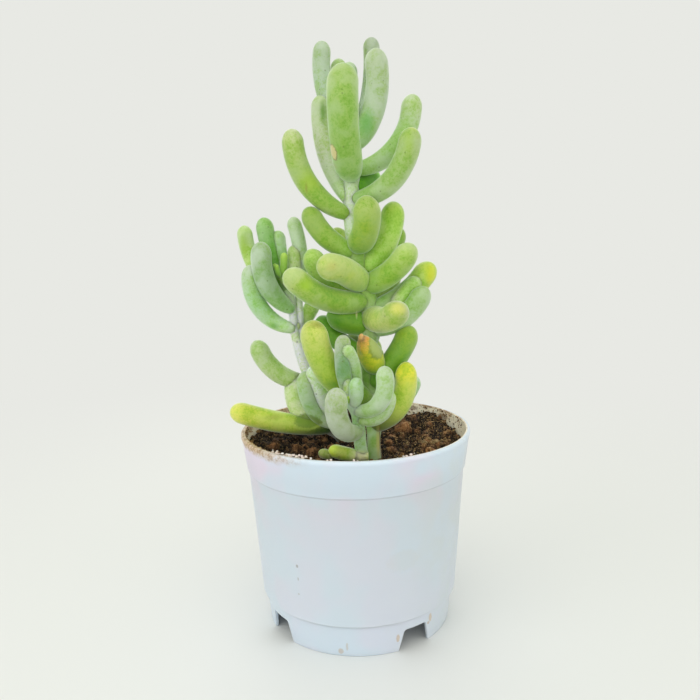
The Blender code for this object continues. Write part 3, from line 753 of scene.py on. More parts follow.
def leaf_axis(root, turn, length, root_rise, tip_rise, shares):
    """A leaf's centre points at shares of its length, with the directions across and out of it."""
    turn = math.radians(turn)
    heading = np.array((math.cos(turn), math.sin(turn), 0.0))
    across = np.array((-heading[1], heading[0], 0.0))
    start = math.radians(root_rise)
    bend = math.radians(tip_rise) - start
    slope = start + bend * shares
    out = length * (np.sin(slope) - math.sin(start)) / bend
    rise = length * (math.cos(start) - np.cos(slope)) / bend
    up = np.array((0.0, 0.0, 1.0))
    centres = np.asarray(root) + out[:, None] * heading + rise[:, None] * up
    normals = np.cos(slope)[:, None] * up - np.sin(slope)[:, None] * heading
    return centres, across, normals


def leaf_stations(length, radius):
    """Shares of the length, each with its share of the full radius."""
    body = 1.0 - LEAF_CAP_LENGTH * radius / length
    along = np.linspace(0.0, 1.0, LEAF_BODY_ROWS)
    widths = curve_through(LEAF_BODY if 2.0 * radius < FULL_FROM else FULL_BODY, along)
    angles = np.radians(np.linspace(0.0, LEAF_CAP_END, LEAF_CAP_ROWS + 1)[1:])
    shares = np.concatenate([along * body, body + (1.0 - body) * np.sin(angles)])
    return shares, np.concatenate([widths, np.cos(angles)])


def leaf_tints(look, shares, crest, draw):
    """Colours along a leaf, with a little of its own tone and a paler crest."""
    root, middle, tip = [linear(colour) for colour in LEAF_LOOKS[look][:3]]
    tints = root + smooth_step(*LEAF_ROOT_FADE, shares)[..., None] * (middle - root)
    tints = tints + smooth_step(*LEAF_TIP_FADE, shares)[..., None] * (tip - tints)
    tone = np.array((draw.uniform(*LEAF_RED), 1.0, draw.uniform(*LEAF_BLUE))) * draw.uniform(*LEAF_LIGHT)
    return tints * tone * (1.0 + LEAF_CREST * crest[..., None])


def leaf_form(form, shares, angles):
    """What makes some leaves differ from a plain club, as a factor on the radius."""
    if form == "ringed":
        rings = np.sin(math.tau * RING_COUNT * shares) * (1.0 - smooth_step(*RING_FADE, shares))
        return 1.0 + RING_RELIEF * rings
    if form == "shrivelled":
        taper = 1.0 - SHRUNK_TIP * smooth_step(0.5, 1.0, shares)
        folds = smooth_step(0.4, 0.9, shares) * (FOLD_RELIEF * np.cos(6.0 * angles + 3.0 * shares))
        return taper * (1.0 + folds + TWIST_RELIEF * np.cos(2.0 * angles + 11.0 * shares))
    if form == "lumpy":
        lumps = LUMP_RELIEF * np.cos(3.0 * angles) * np.sin(16.0 * shares)
        return 1.0 - smooth_step(0.4, 0.8, shares) * (LUMP_RELIEF - lumps)
    return 1.0


def leaf_faces(rows):
    """The faces of a leaf, whose tip is one point after its rows."""
    last = (rows - 1) * LEAF_SIDES
    tip = [(last + k, last + (k + 1) % LEAF_SIDES, rows * LEAF_SIDES) for k in range(LEAF_SIDES)]
    return tube_faces(rows, LEAF_SIDES, False) + tip


def add_leaf(patch, root, turn, length, root_rise, tip_rise, thick, look, draw, form):
    """One bean-shaped leaf: a bent, rounded club that starts inside its stem."""
    radius = 0.5 * thick
    stations, widths = leaf_stations(length, radius)
    centres, across, normals = leaf_axis(root, turn, length, root_rise, tip_rise, np.append(stations, 1.0))
    shares = stations[:, None]
    angles = math.tau * np.arange(LEAF_SIDES)[None, :] / LEAF_SIDES
    shaped = leaf_form(form, shares, angles)
    uneven = 1.0 + LEAF_UNEVEN * wobble(draw, shares, angles)
    drawn = radius * LEAF_FULLNESS * widths[:, None] * uneven * shaped
    side = (LEAF_WIDTH_SHARE * drawn * np.cos(angles))[..., None]
    top = (drawn * np.sin(angles))[..., None]
    points = centres[:-1, None, :] + side * across + top * normals[:-1, None, :]
    crest = np.broadcast_to(np.sin(angles), drawn.shape)
    tints = leaf_tints(look, shares + LEAF_TINT_SHIFT * wobble(draw, shares, angles, 0.6), crest, draw)
    if form == "ringed":
        tints = tints * (1.0 - RING_SHADE + RING_SHADE * shaped**8.0)[..., None]
    tints = tints.reshape(-1, 3)
    points = np.concatenate([points.reshape(-1, 3), centres[-1:]])
    patch.add(points, leaf_faces(len(stations)), np.concatenate([tints, tints[-1:]]), LEAF_LOOKS[look][3])


def stem_rows(line):
    """A smooth line through the stem's points, as rows of x, y, z and radius."""
    points = np.array(line, float)
    heights = points[:, 2]
    rows = max(int((heights[-1] - heights[0]) / STEM_ROW), STEM_LEAST_ROWS)
    wanted = np.linspace(heights[0], heights[-1], rows)
    slopes = np.gradient(points, heights, axis=0)
    return np.stack([hermite(heights, points[:, k], slopes[:, k], wanted) for k in range(4)], -1)


def stem_tints(heights, levels, draw, angles):
    """Colours that change with height: each level is a height and the colour from there up."""
    uneven = wobble(draw, heights / TINT_WAVE, angles)
    tints = linear(levels[0][1])
    for height, colour in levels[1:]:
        unlevel = heights + LEVEL_UNEVEN * uneven
        share = smooth_step(height - LEVEL_FADE, height + LEVEL_FADE, unlevel)[..., None]
        tints = tints + share * (linear(colour) - tints)
    return tints


def unit(vectors):
    return vectors / np.linalg.norm(vectors, axis=1)[:, None]


def add_stem(patch, line, leaves, levels, draw):
    """A tube along a centre line that swells a little under each leaf."""
    rows = stem_rows(line)
    along = unit(np.gradient(rows[:, :3], axis=0))
    side = unit(np.cross(np.array((0.0, 1.0, 0.0)), along))
    front = np.cross(along, side)
    heights = rows[:, 2][:, None]
    turns = math.tau * np.arange(STEM_SIDES)[None, :] / STEM_SIDES
    radii = rows[:, 3][:, None] * (1.0 + STEM_UNEVEN * wobble(draw, heights / STEM_WAVE, turns))
    for height, turn, *_ in leaves:
        apart = np.cos(turns - math.radians(turn))
        near = np.exp(-(((heights - height) / NODE_REACH) ** 2)) * np.clip(apart, 0.0, 1.0) ** 2
        radii = radii + NODE_SWELL * near
    outward = np.cos(turns)[..., None] * side[:, None, :] + np.sin(turns)[..., None] * front[:, None, :]
    points = rows[:, None, :3] + radii[..., None] * outward
    tints = stem_tints(heights, levels, draw, turns).reshape(-1, 3)
    patch.add(points.reshape(-1, 3), tube_faces(len(rows), STEM_SIDES), tints, STEM_BLOOM)


def add_stub(patch, draw):
    """The short creeping stem that lies along the soil."""
    points = np.array(FRONT_STUB, float)
    shares = np.linspace(0.0, 1.0, STUB_ROWS)
    rows = np.stack([np.interp(shares, STUB_STOPS, points[:, k]) for k in range(4)], -1)
    angles = math.tau * np.arange(STEM_SIDES) / STEM_SIDES
    end = np.sqrt(1.0 - ((shares - 0.8) / 0.22).clip(0.0, 0.98) ** 2)
    uneven = 1.0 + STUB_UNEVEN * wobble(draw, shares[:, None], angles[None, :])
    radii = rows[:, 3][:, None] * end[:, None] * uneven
    around = np.stack([0.0 * angles, np.cos(angles), np.sin(angles)], -1)
    points = (rows[:, None, :3] + radii[..., None] * around)[::-1].reshape(-1, 3)
    patch.add(points, tube_faces(STUB_ROWS, STEM_SIDES), linear(STUB_COLOUR), STUB_BLOOM)


def add_leaves(patch, line, leaves, draw, forms=None):
    for k, (height, *leaf) in enumerate(leaves):
        add_leaf(patch, point_on(line, height), *leaf, draw, (forms or {}).get(k, "plain"))


def add_rooted(patch, leaves, draw, form="plain"):
    for root, *leaf in leaves:
        add_leaf(patch, root, *leaf, draw, form)


def back_leaves(spiral, looks):
    """The leaves of a spiral that point away from the front, each a little different from the last."""
    height, top, step, turn, low_length, high_length, thick = spiral
    low = height
    draw = random.Random(BACK_SEED)
    leaves = []
    while height < top:
        share = (height - low) / (top - low)
        length = (low_length + share * (high_length - low_length)) * draw.uniform(*BACK_LENGTHS)
        root_rise = draw.uniform(*BACK_ROOT_RISES)
        tip_rise = draw.uniform(*BACK_TIP_RISES)
        if BACK_TURNS[0] < turn % 360.0 < BACK_TURNS[1]:
            look = looks[len(leaves) % len(looks)]
            leaves.append((height, turn % 360.0, length, root_rise, tip_rise, thick, look))
        height += step
        turn += GOLDEN_TURN
    return tuple(leaves)


class Paint:
    """A material's nodes, with short ways to add them and join them."""

    def __init__(self, name):
        self.made = bpy.data.materials.new(name)
        self.made.use_nodes = True
        self.tree = self.made.node_tree
        self.shader = self.tree.nodes["Principled BSDF"]
        self.place = self.node("TexCoord").outputs["Object"]

    def feed(self, sockets, values):
        """Joins each socket to the one given for it, or sets it to a number, a vector or a colour."""
        for key, value in values.items():
            if isinstance(value, bpy.types.NodeSocket):
                self.tree.links.new(value, sockets[key])
            else:
                sockets[key].default_value = (*value, 1.0) if sockets[key].type == "RGBA" else value

    def node(self, kind, inputs=None, **settings):
        made = self.tree.nodes.new("ShaderNode" + kind)
        for key, value in settings.items():
            setattr(made, key, value)
        self.feed(made.inputs, inputs or {})
        return made

    def attribute(self, name, output):
        return self.node("Attribute", attribute_name=name).outputs[output]

    def axis(self, letter):
        """How far along X, Y or Z a point is, in metres."""
        return self.node("SeparateXYZ", {0: self.place}).outputs[letter]

    def noise(self, scale, detail=3.0, rough=0.55):
        inputs = {"Vector": self.place, "Scale": scale, "Detail": detail, "Roughness": rough}
        return self.node("TexNoise", inputs).outputs["Fac"]

    def ramp(self, value, low, high, to_low=0.0, to_high=1.0):
        inputs = {"Value": value, "From Min": low, "From Max": high, "To Min": to_low, "To Max": to_high}
        return self.node("MapRange", inputs, interpolation_type="SMOOTHSTEP").outputs["Result"]

    def times(self, made, *others):
        for other in others:
            made = self.node("Math", {0: made, 1: other}, operation="MULTIPLY").outputs[0]
        return made

    def plus(self, first, second):
        return self.node("Math", {0: first, 1: second}, operation="ADD").outputs[0]

    def vector(self, operation, *values):
        made = self.node("VectorMath", dict(enumerate(values)), operation=operation)
        return made.outputs["Value" if operation == "LENGTH" else "Vector"]

    def mix(self, share, first, second, how="MIX"):
        inputs = {0: share, 6: first, 7: second}
        return self.node("Mix", inputs, data_type="RGBA", blend_type=how).outputs[2]

    def coat(self, colour, tone, *shares):
        """Lays an sRGB tone over a colour, by the product of the shares."""
        return self.mix(self.times(*shares), colour, linear(tone))

    def stain(self, colour, factor, *shares):
        """Multiplies a colour by a factor, by the product of the shares."""
        return self.mix(self.times(*shares), colour, factor, "MULTIPLY")

    def mark_share(self, spot, size, soft, ragged):
        """1 in the middle of a mark and 0 outside it, with an edge that is soft, ragged or both."""
        centre = ((spot[0] + POT_X) * MM, spot[1] * MM, spot[2] * MM)
        away = self.vector("SUBTRACT", self.place, centre)
        scaled = self.vector("MULTIPLY", away, tuple(1.0 / (part * MM) for part in size))
        reach = self.vector("LENGTH", scaled)
        edge = self.plus(reach, self.times(self.noise(*MARK_NOISE), 2.0 * ragged))
        return self.ramp(edge, 1.0 + ragged - soft, 1.0 + ragged + 0.4 * soft, 1.0, 0.0)

    def marked(self, colour, marks, edge):
        for spot, size, tone, strength in marks:
            colour = self.coat(colour, tone, self.mark_share(spot, size, *edge), strength)
        return colour

    def finish(self, colour, rough, height, bump, others):
        """Joins the colour, the roughness and a fine bump to the shader, and sets its other sockets."""
        relief = self.node("Bump", {"Strength": bump[0], "Distance": bump[1], "Height": height})
        skin = {"Base Color": colour, "Roughness": rough, "Normal": relief.outputs["Normal"]}
        self.feed(self.shader.inputs, {**skin, **others})
        return self.made


def leaf_material(name, marks, crisp_marks):
    """Fleshy leaf skin: painted greens, mottling, tiny dark pores and a broken coat of pale wax."""
    paint = Paint(name)
    wax = paint.attribute("wax", "Fac")
    broad = paint.noise(*LEAF_BROAD)
    mottle = paint.noise(*LEAF_MOTTLE)
    rubbed = paint.times(paint.ramp(broad, 0.48, 0.66), paint.ramp(mottle, 0.35, 0.6, 0.55, 1.0))
    colour = paint.attribute("tint", "Color")
    colour = paint.stain(colour, RUBBED_GREEN, rubbed, paint.ramp(wax, *WAX_SPAN, 0.75, 0.5))
    colour = paint.stain(colour, MOTTLE_GREEN, paint.ramp(mottle, 0.45, 0.66, 0.0, 0.4))
    grains = paint.ramp(paint.noise(*LEAF_GRAIN), 0.46, 0.62)
    grains = paint.times(grains, paint.ramp(broad, 0.36, 0.56, 0.4, 0.95))
    colour = paint.stain(colour, GRAIN_GREEN, grains, paint.ramp(wax, *WAX_SPAN, 1.0, 0.75))
    bloom = paint.times(paint.ramp(broad, 0.56, 0.34), paint.ramp(mottle, 0.3, 0.6, 0.6, 1.0))
    colour = paint.coat(colour, BLOOM_COLOUR, bloom, wax, 0.5)
    colour = pores(paint, colour)
    colour = paint.marked(colour, marks, SOFT_EDGE)
    colour = paint.marked(colour, crisp_marks, CRISP_EDGE)
    rough = paint.ramp(mottle, 0.3, 0.7, 0.52, 0.42)
    return paint.finish(colour, rough, paint.plus(paint.noise(*LEAF_FINE), mottle), LEAF_BUMP, LEAF_SOCKETS)


def pores(paint, colour):
    dots = paint.node("TexVoronoi", {"Vector": paint.place, "Scale": PORE_SCALE}, feature="F1")
    chance = paint.node("SeparateColor", {"Color": dots.outputs["Color"]}).outputs["Red"]
    inside = paint.ramp(dots.outputs["Distance"], *PORE_EDGE, 1.0, 0.0)
    return paint.coat(colour, PORE_COLOUR, inside, paint.ramp(chance, *PORE_CHANCE), PORE_STRENGTH)


def pot_material():
    """Thin moulded plastic with faint tints, painted shade lines at its steps, a dirty rim whose inner wall
    is lightened by painted light, stains on the foot and fine scuffs.
    """
    paint = Paint("pot_plastic_fine")
    height = paint.axis("Z")
    right = paint.ramp(paint.axis("X"), *POT_RIGHT_X)
    upper = paint.ramp(height, *POT_UPPER_Z, 0.3, 1.0)
    colour = linear(POT_COLOUR)
    colour = paint.coat(colour, POT_LAVENDER, paint.ramp(paint.noise(*POT_BROAD), 0.40, 0.58), upper)
    colour = paint.coat(colour, POT_GREY, right, paint.ramp(paint.noise(*POT_CLOUD), 0.4, 0.65, 0.3, 0.9))
    # Painted shade along the steps at the collar and the foot
    for z, tone in POT_STEP_SHADE_LINES:
        above = paint.ramp(height, (z - 0.5) * MM, (z - 0.1) * MM)
        below = paint.ramp(height, (z + 0.1) * MM, (z + 0.5) * MM, 1.0, 0.0)
        colour = paint.coat(colour, tone, above, below, 0.4)
    colour = rim_dirt_and_light(paint, colour, height)
    colour = paint.marked(colour, POT_MARKS, RAGGED_EDGE)
    scuffs = paint.noise(*POT_FINE)
    return paint.finish(colour, paint.ramp(scuffs, 0.3, 0.7, 0.36, 0.5), scuffs, POT_BUMP, POT_SOCKETS)


def inner_share(paint, height):
    """1 on the inner side of the leaning wall and 0 on its outer side."""
    centred = paint.vector("ADD", paint.place, (-POT_X * MM, 0.0, 0.0))
    reach = paint.vector("LENGTH", paint.vector("MULTIPLY", centred, (1.0, 1.0, 0.0)))
    below_rim = paint.plus(paint.times(height, -WALL_LEAN), WALL_LEAN * (POT_HEIGHT - 0.5) * MM)
    upright = paint.plus(reach, below_rim)
    return paint.ramp(upright, (RIM_RADIUS - 1.5) * MM, (RIM_RADIUS - 1.1) * MM, 1.0, 0.0)


def rim_dirt_and_light(paint, colour, height):
    """Soil and lime on the rim: a rough band at the left, a brown inner edge, specks on the inner wall, and
    the inner wall lightened to cream, partly as painted light in the shade inside the pot.
    """
    coarse = paint.noise(*RIM_COARSE)
    grain = paint.noise(*RIM_GRAIN)
    inner = inner_share(paint, height)
    inside = paint.times(inner, paint.ramp(height, *RIM_INSIDE_Z))
    near_rim = paint.ramp(height, (POT_HEIGHT - 4.5) * MM, (POT_HEIGHT - 0.8) * MM, 0.25, 1.0)
    dirty = paint.times(inside, near_rim)
    edge = paint.times(paint.ramp(height, (POT_HEIGHT - 0.9) * MM, (POT_HEIGHT - 0.4) * MM), inner)
    back = paint.ramp(paint.axis("Y"), *RIM_BACK_Y, 0.3, 1.0)
    band = paint.ramp(paint.plus(height, paint.times(coarse, CRUST_RAGGED)), *CRUST_Z)
    crust = paint.times(band, paint.ramp(paint.axis("X"), *CRUST_X, 1.0, 0.0))
    # The first coat is the inner wall's cream and its painted light
    coats = (
        (RIM_INSIDE_CREAM_LIT, inside, 0.95),
        (RIM_BROWN, dirty, paint.ramp(grain, 0.53, 0.6), 0.85),
        (RIM_TAN, dirty, paint.ramp(coarse, 0.48, 0.66), 0.5),
        (RIM_CREAM, edge, 0.8),
        (RIM_BROWN, edge, back, paint.ramp(coarse, 0.38, 0.58, 0.1, 1.0), 0.85),
        (RIM_TAN, crust, paint.ramp(grain, 0.34, 0.48, 0.3, 0.95)),
        (RIM_BROWN, crust, paint.ramp(grain, 0.5, 0.6, 0.0, 0.9)),
    )
    for tone, *shares in coats:
        colour = paint.coat(colour, tone, *shares)
    return paint.mix(inside, colour, paint.marked(colour, RIM_MARKS, RAGGED_EDGE))


def soil_material():
    """Damp crumbly compost: painted shade in the hollows, brown crumbs, and a few dry tan bits, fewer at
    the left in the painted shadow of the leaves.
    """
    paint = Paint("compost")
    broad = paint.noise(*SOIL_BROAD)
    coarse = paint.noise(*SOIL_COARSE)
    grain = paint.noise(*SOIL_GRAIN)
    colour = paint.attribute("tint", "Color")
    colour = paint.stain(colour, SOIL_SHADE, paint.ramp(coarse, 0.46, 0.58, 0.0, 0.85))
    dry = paint.times(paint.ramp(grain, 0.54, 0.59), paint.ramp(broad, 0.40, 0.56, 0.35, 1.0))
    # Dry tan bits of real dry soil, half as strong at the left as painted shadow of the leaves
    colour = paint.coat(colour, SOIL_LIGHT, dry, paint.ramp(paint.axis("X"), *SOIL_DRY_AND_LIT_X, 0.5, 1.0), 0.9)
    # Darker where the fine bump is low: painted shade in its hollows
    colour = paint.coat(colour, SOIL_DARK, paint.ramp(grain, 0.46, 0.38, 0.0, 0.6))
    height = paint.plus(paint.times(coarse, 2.0), grain)
    return paint.finish(colour, paint.ramp(grain, 0.3, 0.7, 0.75, 0.95), height, SOIL_BUMP, SOIL_SOCKETS)


def crumb_material():
    """Dry soil and lime crumbs that cling to the rim."""
    paint = Paint("rim_crumb")
    grain = paint.noise(*CRUMB_GRAIN)
    colour = paint.attribute("tint", "Color")
    colour = paint.stain(colour, CRUMB_SHADE, paint.ramp(grain, 0.4, 0.65, 0.0, 0.4))
    return paint.finish(colour, paint.ramp(grain, 0.3, 0.7, 0.8, 0.95), grain, CRUMB_BUMP, {})


def arc(centre_r, centre_z, radius, start, end, steps):
    """Points on a quarter turn of a rounded edge."""
    made = []
    for k in range(steps + 1):
        angle = math.radians(start + (end - start) * k / steps)
        made.append((centre_r + radius * math.cos(angle), centre_z + radius * math.sin(angle)))
    return made


def pot_outline():
    """The pot's section, from the middle of the floor outwards, up the outside and back down the inside."""
    foot_inside = FOOT_BOTTOM_RADIUS - FOOT_WALL
    floor_edge = CENTRE_DRAIN_RADIUS + 2.0
    lip_inside = RIM_RADIUS - RIM_LIP + LIP_ROUND
    return [
        (0.0, FLOOR_UNDER_Z),
        (floor_edge, FLOOR_UNDER_Z),
        (FOOT_TOP_RADIUS - FOOT_WALL - 0.3, FLOOR_UNDER_Z),
        (foot_inside, 0.35),
        (foot_inside + 0.3, 0.0),
        (FOOT_BOTTOM_RADIUS - 0.35, 0.0),
        *arc(FOOT_BOTTOM_RADIUS - FOOT_ROUND, FOOT_ROUND, FOOT_ROUND, -70.0, 0.0, 3),
        (FOOT_TOP_RADIUS - 0.12, FOOT_TOP_Z - 0.9),
        (FOOT_TOP_RADIUS, FOOT_TOP_Z - 0.25),
        (FOOT_TOP_RADIUS + 0.25, FOOT_TOP_Z),
        (WALL_BOTTOM_RADIUS - EDGE_ROUND, FOOT_TOP_Z + 0.2),
        *arc(WALL_BOTTOM_RADIUS - EDGE_ROUND, FOOT_TOP_Z + 0.95, EDGE_ROUND, -75.0, -5.0, 4),
        (WALL_TOP_RADIUS, COLLAR_BOTTOM_Z - 0.5),
        (WALL_TOP_RADIUS + 0.12, COLLAR_BOTTOM_Z - 0.25),
        (COLLAR_BOTTOM_RADIUS - 0.22, COLLAR_BOTTOM_Z - 0.05),
        (COLLAR_BOTTOM_RADIUS, COLLAR_BOTTOM_Z + 0.3),
        (RIM_RADIUS - 0.5, POT_HEIGHT - 2.6),
        (RIM_RADIUS - 0.12, POT_HEIGHT - 1.9),
        (RIM_RADIUS, POT_HEIGHT - 1.3),
        *arc(RIM_RADIUS - EDGE_ROUND, POT_HEIGHT - EDGE_ROUND, EDGE_ROUND, 10.0, 90.0, 5),
        *arc(lip_inside, POT_HEIGHT - LIP_ROUND, LIP_ROUND, 90.0, 180.0, 4),
        INNER_KINK,
        INNER_BOTTOM,
        (INNER_BOTTOM[0] - FLOOR_ROUND, FLOOR_TOP_Z),
        (floor_edge, FLOOR_TOP_Z),
        (0.0, FLOOR_TOP_Z),
    ]


def turned(outline, sides):
    """Spins an outline of (radius, z) about the Z axis."""
    shape = bmesh.new()
    corners = [shape.verts.new((radius, 0.0, z)) for radius, z in outline]
    edges = [shape.edges.new(pair) for pair in zip(corners, corners[1:])]
    centre = (0.0, 0.0, 0.0)
    axis = (0.0, 0.0, 1.0)
    bmesh.ops.spin(
        shape, geom=corners + edges, cent=centre, axis=axis, angle=math.tau, steps=sides, use_merge=True
    )
    bmesh.ops.remove_doubles(shape, verts=shape.verts[:], dist=0.0001)
    return shape


def solid_object(name, shape):
    """Turns a bmesh in millimetres into an object at the pot's place."""
    bmesh.ops.recalc_face_normals(shape, faces=shape.faces[:])
    bmesh.ops.translate(shape, vec=(POT_X, 0.0, 0.0), verts=shape.verts[:])
    bmesh.ops.scale(shape, vec=(MM, MM, MM), verts=shape.verts[:])
    return add_shape(name, shape)


def notch_section():
    """The notch's outline across the foot, with rounded upper corners."""
    half_low = 0.5 * NOTCH_BOTTOM_WIDTH + 0.8
    half_top = 0.5 * NOTCH_TOP_WIDTH
    right = arc(half_top - NOTCH_ROUND + 0.2, NOTCH_HEIGHT - NOTCH_ROUND, NOTCH_ROUND, 8.0, 90.0, 5)
    left = [(-across, z) for across, z in reversed(right)]
    return [(-half_low, -2.0), (half_low, -2.0)] + right + left


def notch_cutter(turn):
    shape = bmesh.new()
    near = [shape.verts.new((NOTCH_FROM, across, z)) for across, z in notch_section()]
    front = shape.faces.new(near)
    pushed = bmesh.ops.extrude_face_region(shape, geom=[front])
    moved = [part for part in pushed["geom"] if isinstance(part, bmesh.types.BMVert)]
    bmesh.ops.translate(shape, vec=(NOTCH_DEPTH, 0.0, 0.0), verts=moved)
    bmesh.ops.rotate(shape, matrix=Matrix.Rotation(math.radians(turn), 3, "Z"), verts=shape.verts[:])
    return solid_object("notch_cutter", shape)


def drain_cutter(place, radius):
    shape = bmesh.new()
    size = {"segments": DRAIN_SIDES, "radius1": radius, "radius2": radius, "depth": DRAIN_DEPTH}
    middle = Matrix.Translation((*place, 0.5 * (FLOOR_UNDER_Z + FLOOR_TOP_Z)))
    bmesh.ops.create_cone(shape, cap_ends=True, matrix=middle, **size)
    return solid_object("drain_cutter", shape)


def cut(made, cutters):
    """Cuts the helpers out of the object and removes them."""
    group = bpy.data.collections.new("cutters")
    for cutter in cutters:
        group.objects.link(cutter)
    step = made.modifiers.new("Cut", "BOOLEAN")
    step.operation = "DIFFERENCE"
    step.operand_type = "COLLECTION"
    step.collection = group
    step.solver = "MANIFOLD"
    bpy.context.view_layer.update()
    graph = bpy.context.evaluated_depsgraph_get()
    result = bpy.data.meshes.new_from_object(made.evaluated_get(graph), depsgraph=graph)
    result.materials.clear()
    made.modifiers.clear()
    made.data = result
    for cutter in cutters:
        bpy.data.objects.remove(cutter, do_unlink=True)
    bpy.data.collections.remove(group)


def make_pot():
    pot = solid_object("pot_fine", turned(pot_outline(), POT_SIDES))
    cutters = [notch_cutter(turn) for turn in NOTCH_TURNS]
    cutters.append(drain_cutter((0.0, 0.0), CENTRE_DRAIN_RADIUS))
    for turn in NOTCH_TURNS:
        place = round_place(SIDE_DRAIN_RING, math.radians(turn + DRAIN_PAST_NOTCH))
        cutters.append(drain_cutter(place, SIDE_DRAIN_RADIUS))
    cut(pot, cutters)
    pot.data.shade_smooth()
    sharpen(pot, POT_SHARP)
    dress(pot, pot_material(), "pot")


def wall_inside(z):
    """The pot's inner radius at a height between the floor and the rim."""
    top = (RIM_RADIUS - RIM_LIP, POT_HEIGHT - LIP_ROUND)
    start, end = (INNER_BOTTOM, INNER_KINK) if z < INNER_KINK[1] else (INNER_KINK, top)
    share = (z - start[1]) / (end[1] - start[1])
    return start[0] + share * (end[0] - start[0])


def share_between(low, high, value):
    """0 at the low value, 1 at the high one, and even between them."""
    return min(max((value - low) / (high - low), 0.0), 1.0)


def soil_height(x, y):
    """The lumpy surface, higher at the left than at the right, with a heap and a dip at the back."""
    across = 0.5 + 0.5 * x / RIM_RADIUS
    level = SOIL_LEFT_Z + across * (SOIL_RIGHT_Z - SOIL_LEFT_Z)
    dip = SOIL_FRONT_DIP * share_between(*FRONT_DIP_SPAN, y)
    rise = SOIL_BACK_RISE * across * share_between(*BACK_RISE_SPAN, y)
    for spot, reach, height in ((HEAP_SPOT, HEAP_REACH, HEAP_RISE), (DIP_SPOT, DIP_REACH, -DIP_FALL)):
        away = math.hypot(x - spot[0], y - spot[1])
        rise += height * max(1.0 - away / reach, 0.0)
    lumps = noise.noise(Vector((0.11 * x, 0.11 * y, 3.0)))
    lumps += 0.6 * noise.noise(Vector((0.29 * x, 0.29 * y, 8.0)))
    return level - dip + rise + SOIL_LUMPS * lumps


def soil_roughness(x, y):
    return noise.turbulence(Vector((0.45 * x, 0.45 * y, 1.7)), 4, False)


def clod_places():
    """Seeded places for clods, clear of the stems and of the pot wall, as in the packed soil."""
    draw = random.Random(CLOD_SEED)
    places = []
    while len(places) < CLOD_COUNT:
        turn = draw.uniform(-math.pi, math.pi)
        reach = draw.uniform(*CLOD_REACHES)
        radius = draw.uniform(*CLOD_SIZES)
        x, y = round_place(reach, turn)
        under_leaf = x < UNDER_LEAF[0] and abs(y) < UNDER_LEAF[1]
        clear = all(math.hypot(x - a, y - b) > CLOD_STEM_GAP + radius for a, b in STEM_SPOTS)
        apart = all(math.hypot(x - p[0], y - p[1]) > radius + r for p, r in places)
        if clear and apart and not under_leaf:
            places.append(((x, y, soil_height(x, y) + 0.1 * radius), radius))
    return places


def crumb_places(draw, count, sizes):
    """Seeded spots on the soil, as x, y and radius."""
    places = []
    for _ in range(count):
        turn = draw.uniform(0.0, math.tau)
        reach = CRUMB_REACH * math.sqrt(draw.random())
        radius = sizes[0] + (sizes[1] - sizes[0]) * draw.random() ** 3
        places.append(round_place(reach, turn, radius))
    return places


def add_clods(x, y, z, rough):
    for (cx, cy, cz), radius in clod_places():
        away = np.hypot(x - cx, y - cy)
        wide = radius * (1.0 + CLOD_ROUGH * (rough - 0.5))
        dome = cz + CLOD_FLAT * np.sqrt(np.maximum(wide**2 - away**2, 0.0))
        z = np.where(away < wide, np.maximum(z, dome - CLOD_ROUGH * rough), z)
    return z


def soil_surface(x, y):
    """The heights of the soil over a polar grid, with clods and crumbs standing out of it."""
    rough = over_grid(soil_roughness, x, y)
    z = add_clods(x, y, over_grid(soil_height, x, y) - SOIL_SINK + SOIL_RELIEF * rough, rough)
    tilt = random.Random(CRUMB_SEED + 5)
    for cx, cy, radius in crumb_places(random.Random(CRUMB_SEED), CRUMB_COUNT, CRUMB_SIZES):
        near = (np.abs(x - cx) < radius) & (np.abs(y - cy) < radius)
        if not near.any():
            continue
        ground = z[near]
        flat = tilt.uniform(*CRUMB_FLATS)
        corners = np.cos(tilt.choice((2.0, 3.0)) * np.arctan2(y[near] - cy, x[near] - cx))
        away = np.hypot(x[near] - cx, y[near] - cy) * (1.0 + CRUMB_CORNERS * corners)
        dome = np.median(ground) + flat * np.sqrt(np.maximum(radius**2 - away**2, 0.0)) - 0.1 * radius
        z[near] = np.where(away < radius, np.maximum(ground, dome), ground)
    return z


def soil_tints(x, y, z):
    """Painted shade and light: darker in the hollows, browner on what stands out, and lighter to the right,
    away from the shadow of the leaves at the left.
    """
    out = smooth_step(*SOIL_OUT, z - over_grid(soil_height, x, y))[..., None]
    dark = linear(SOIL_DARK)
    # Painted light at the right, with the left kept in the painted shadow of the leaves
    lit = 1.0 + SOIL_LIT * smooth_step(0.0, 24.0, x)[..., None]
    return (dark + out * (linear(SOIL_MIDDLE) - dark)) * lit


def add_crumb(patch, place, radius, colour, draw, rows=1):
    """One small uneven lump."""
    shape = bmesh.new()
    bmesh.ops.create_icosphere(shape, subdivisions=rows, radius=radius)
    shift = Vector([draw.uniform(0, 50) for _ in range(3)])
    stretch = Vector([draw.uniform(*pair) for pair in CRUMB_STRETCH])
    points = []
    for corner in shape.verts:
        uneven = 1.0 + CRUMB_UNEVEN * noise.noise(corner.co * (1.3 / radius) + shift)
        points.append([place[k] + corner.co[k] * stretch[k] * uneven for k in range(3)])
    faces = [[corner.index for corner in face.verts] for face in shape.faces]
    shape.free()
    patch.add(points, faces, linear(colour), 0.0)


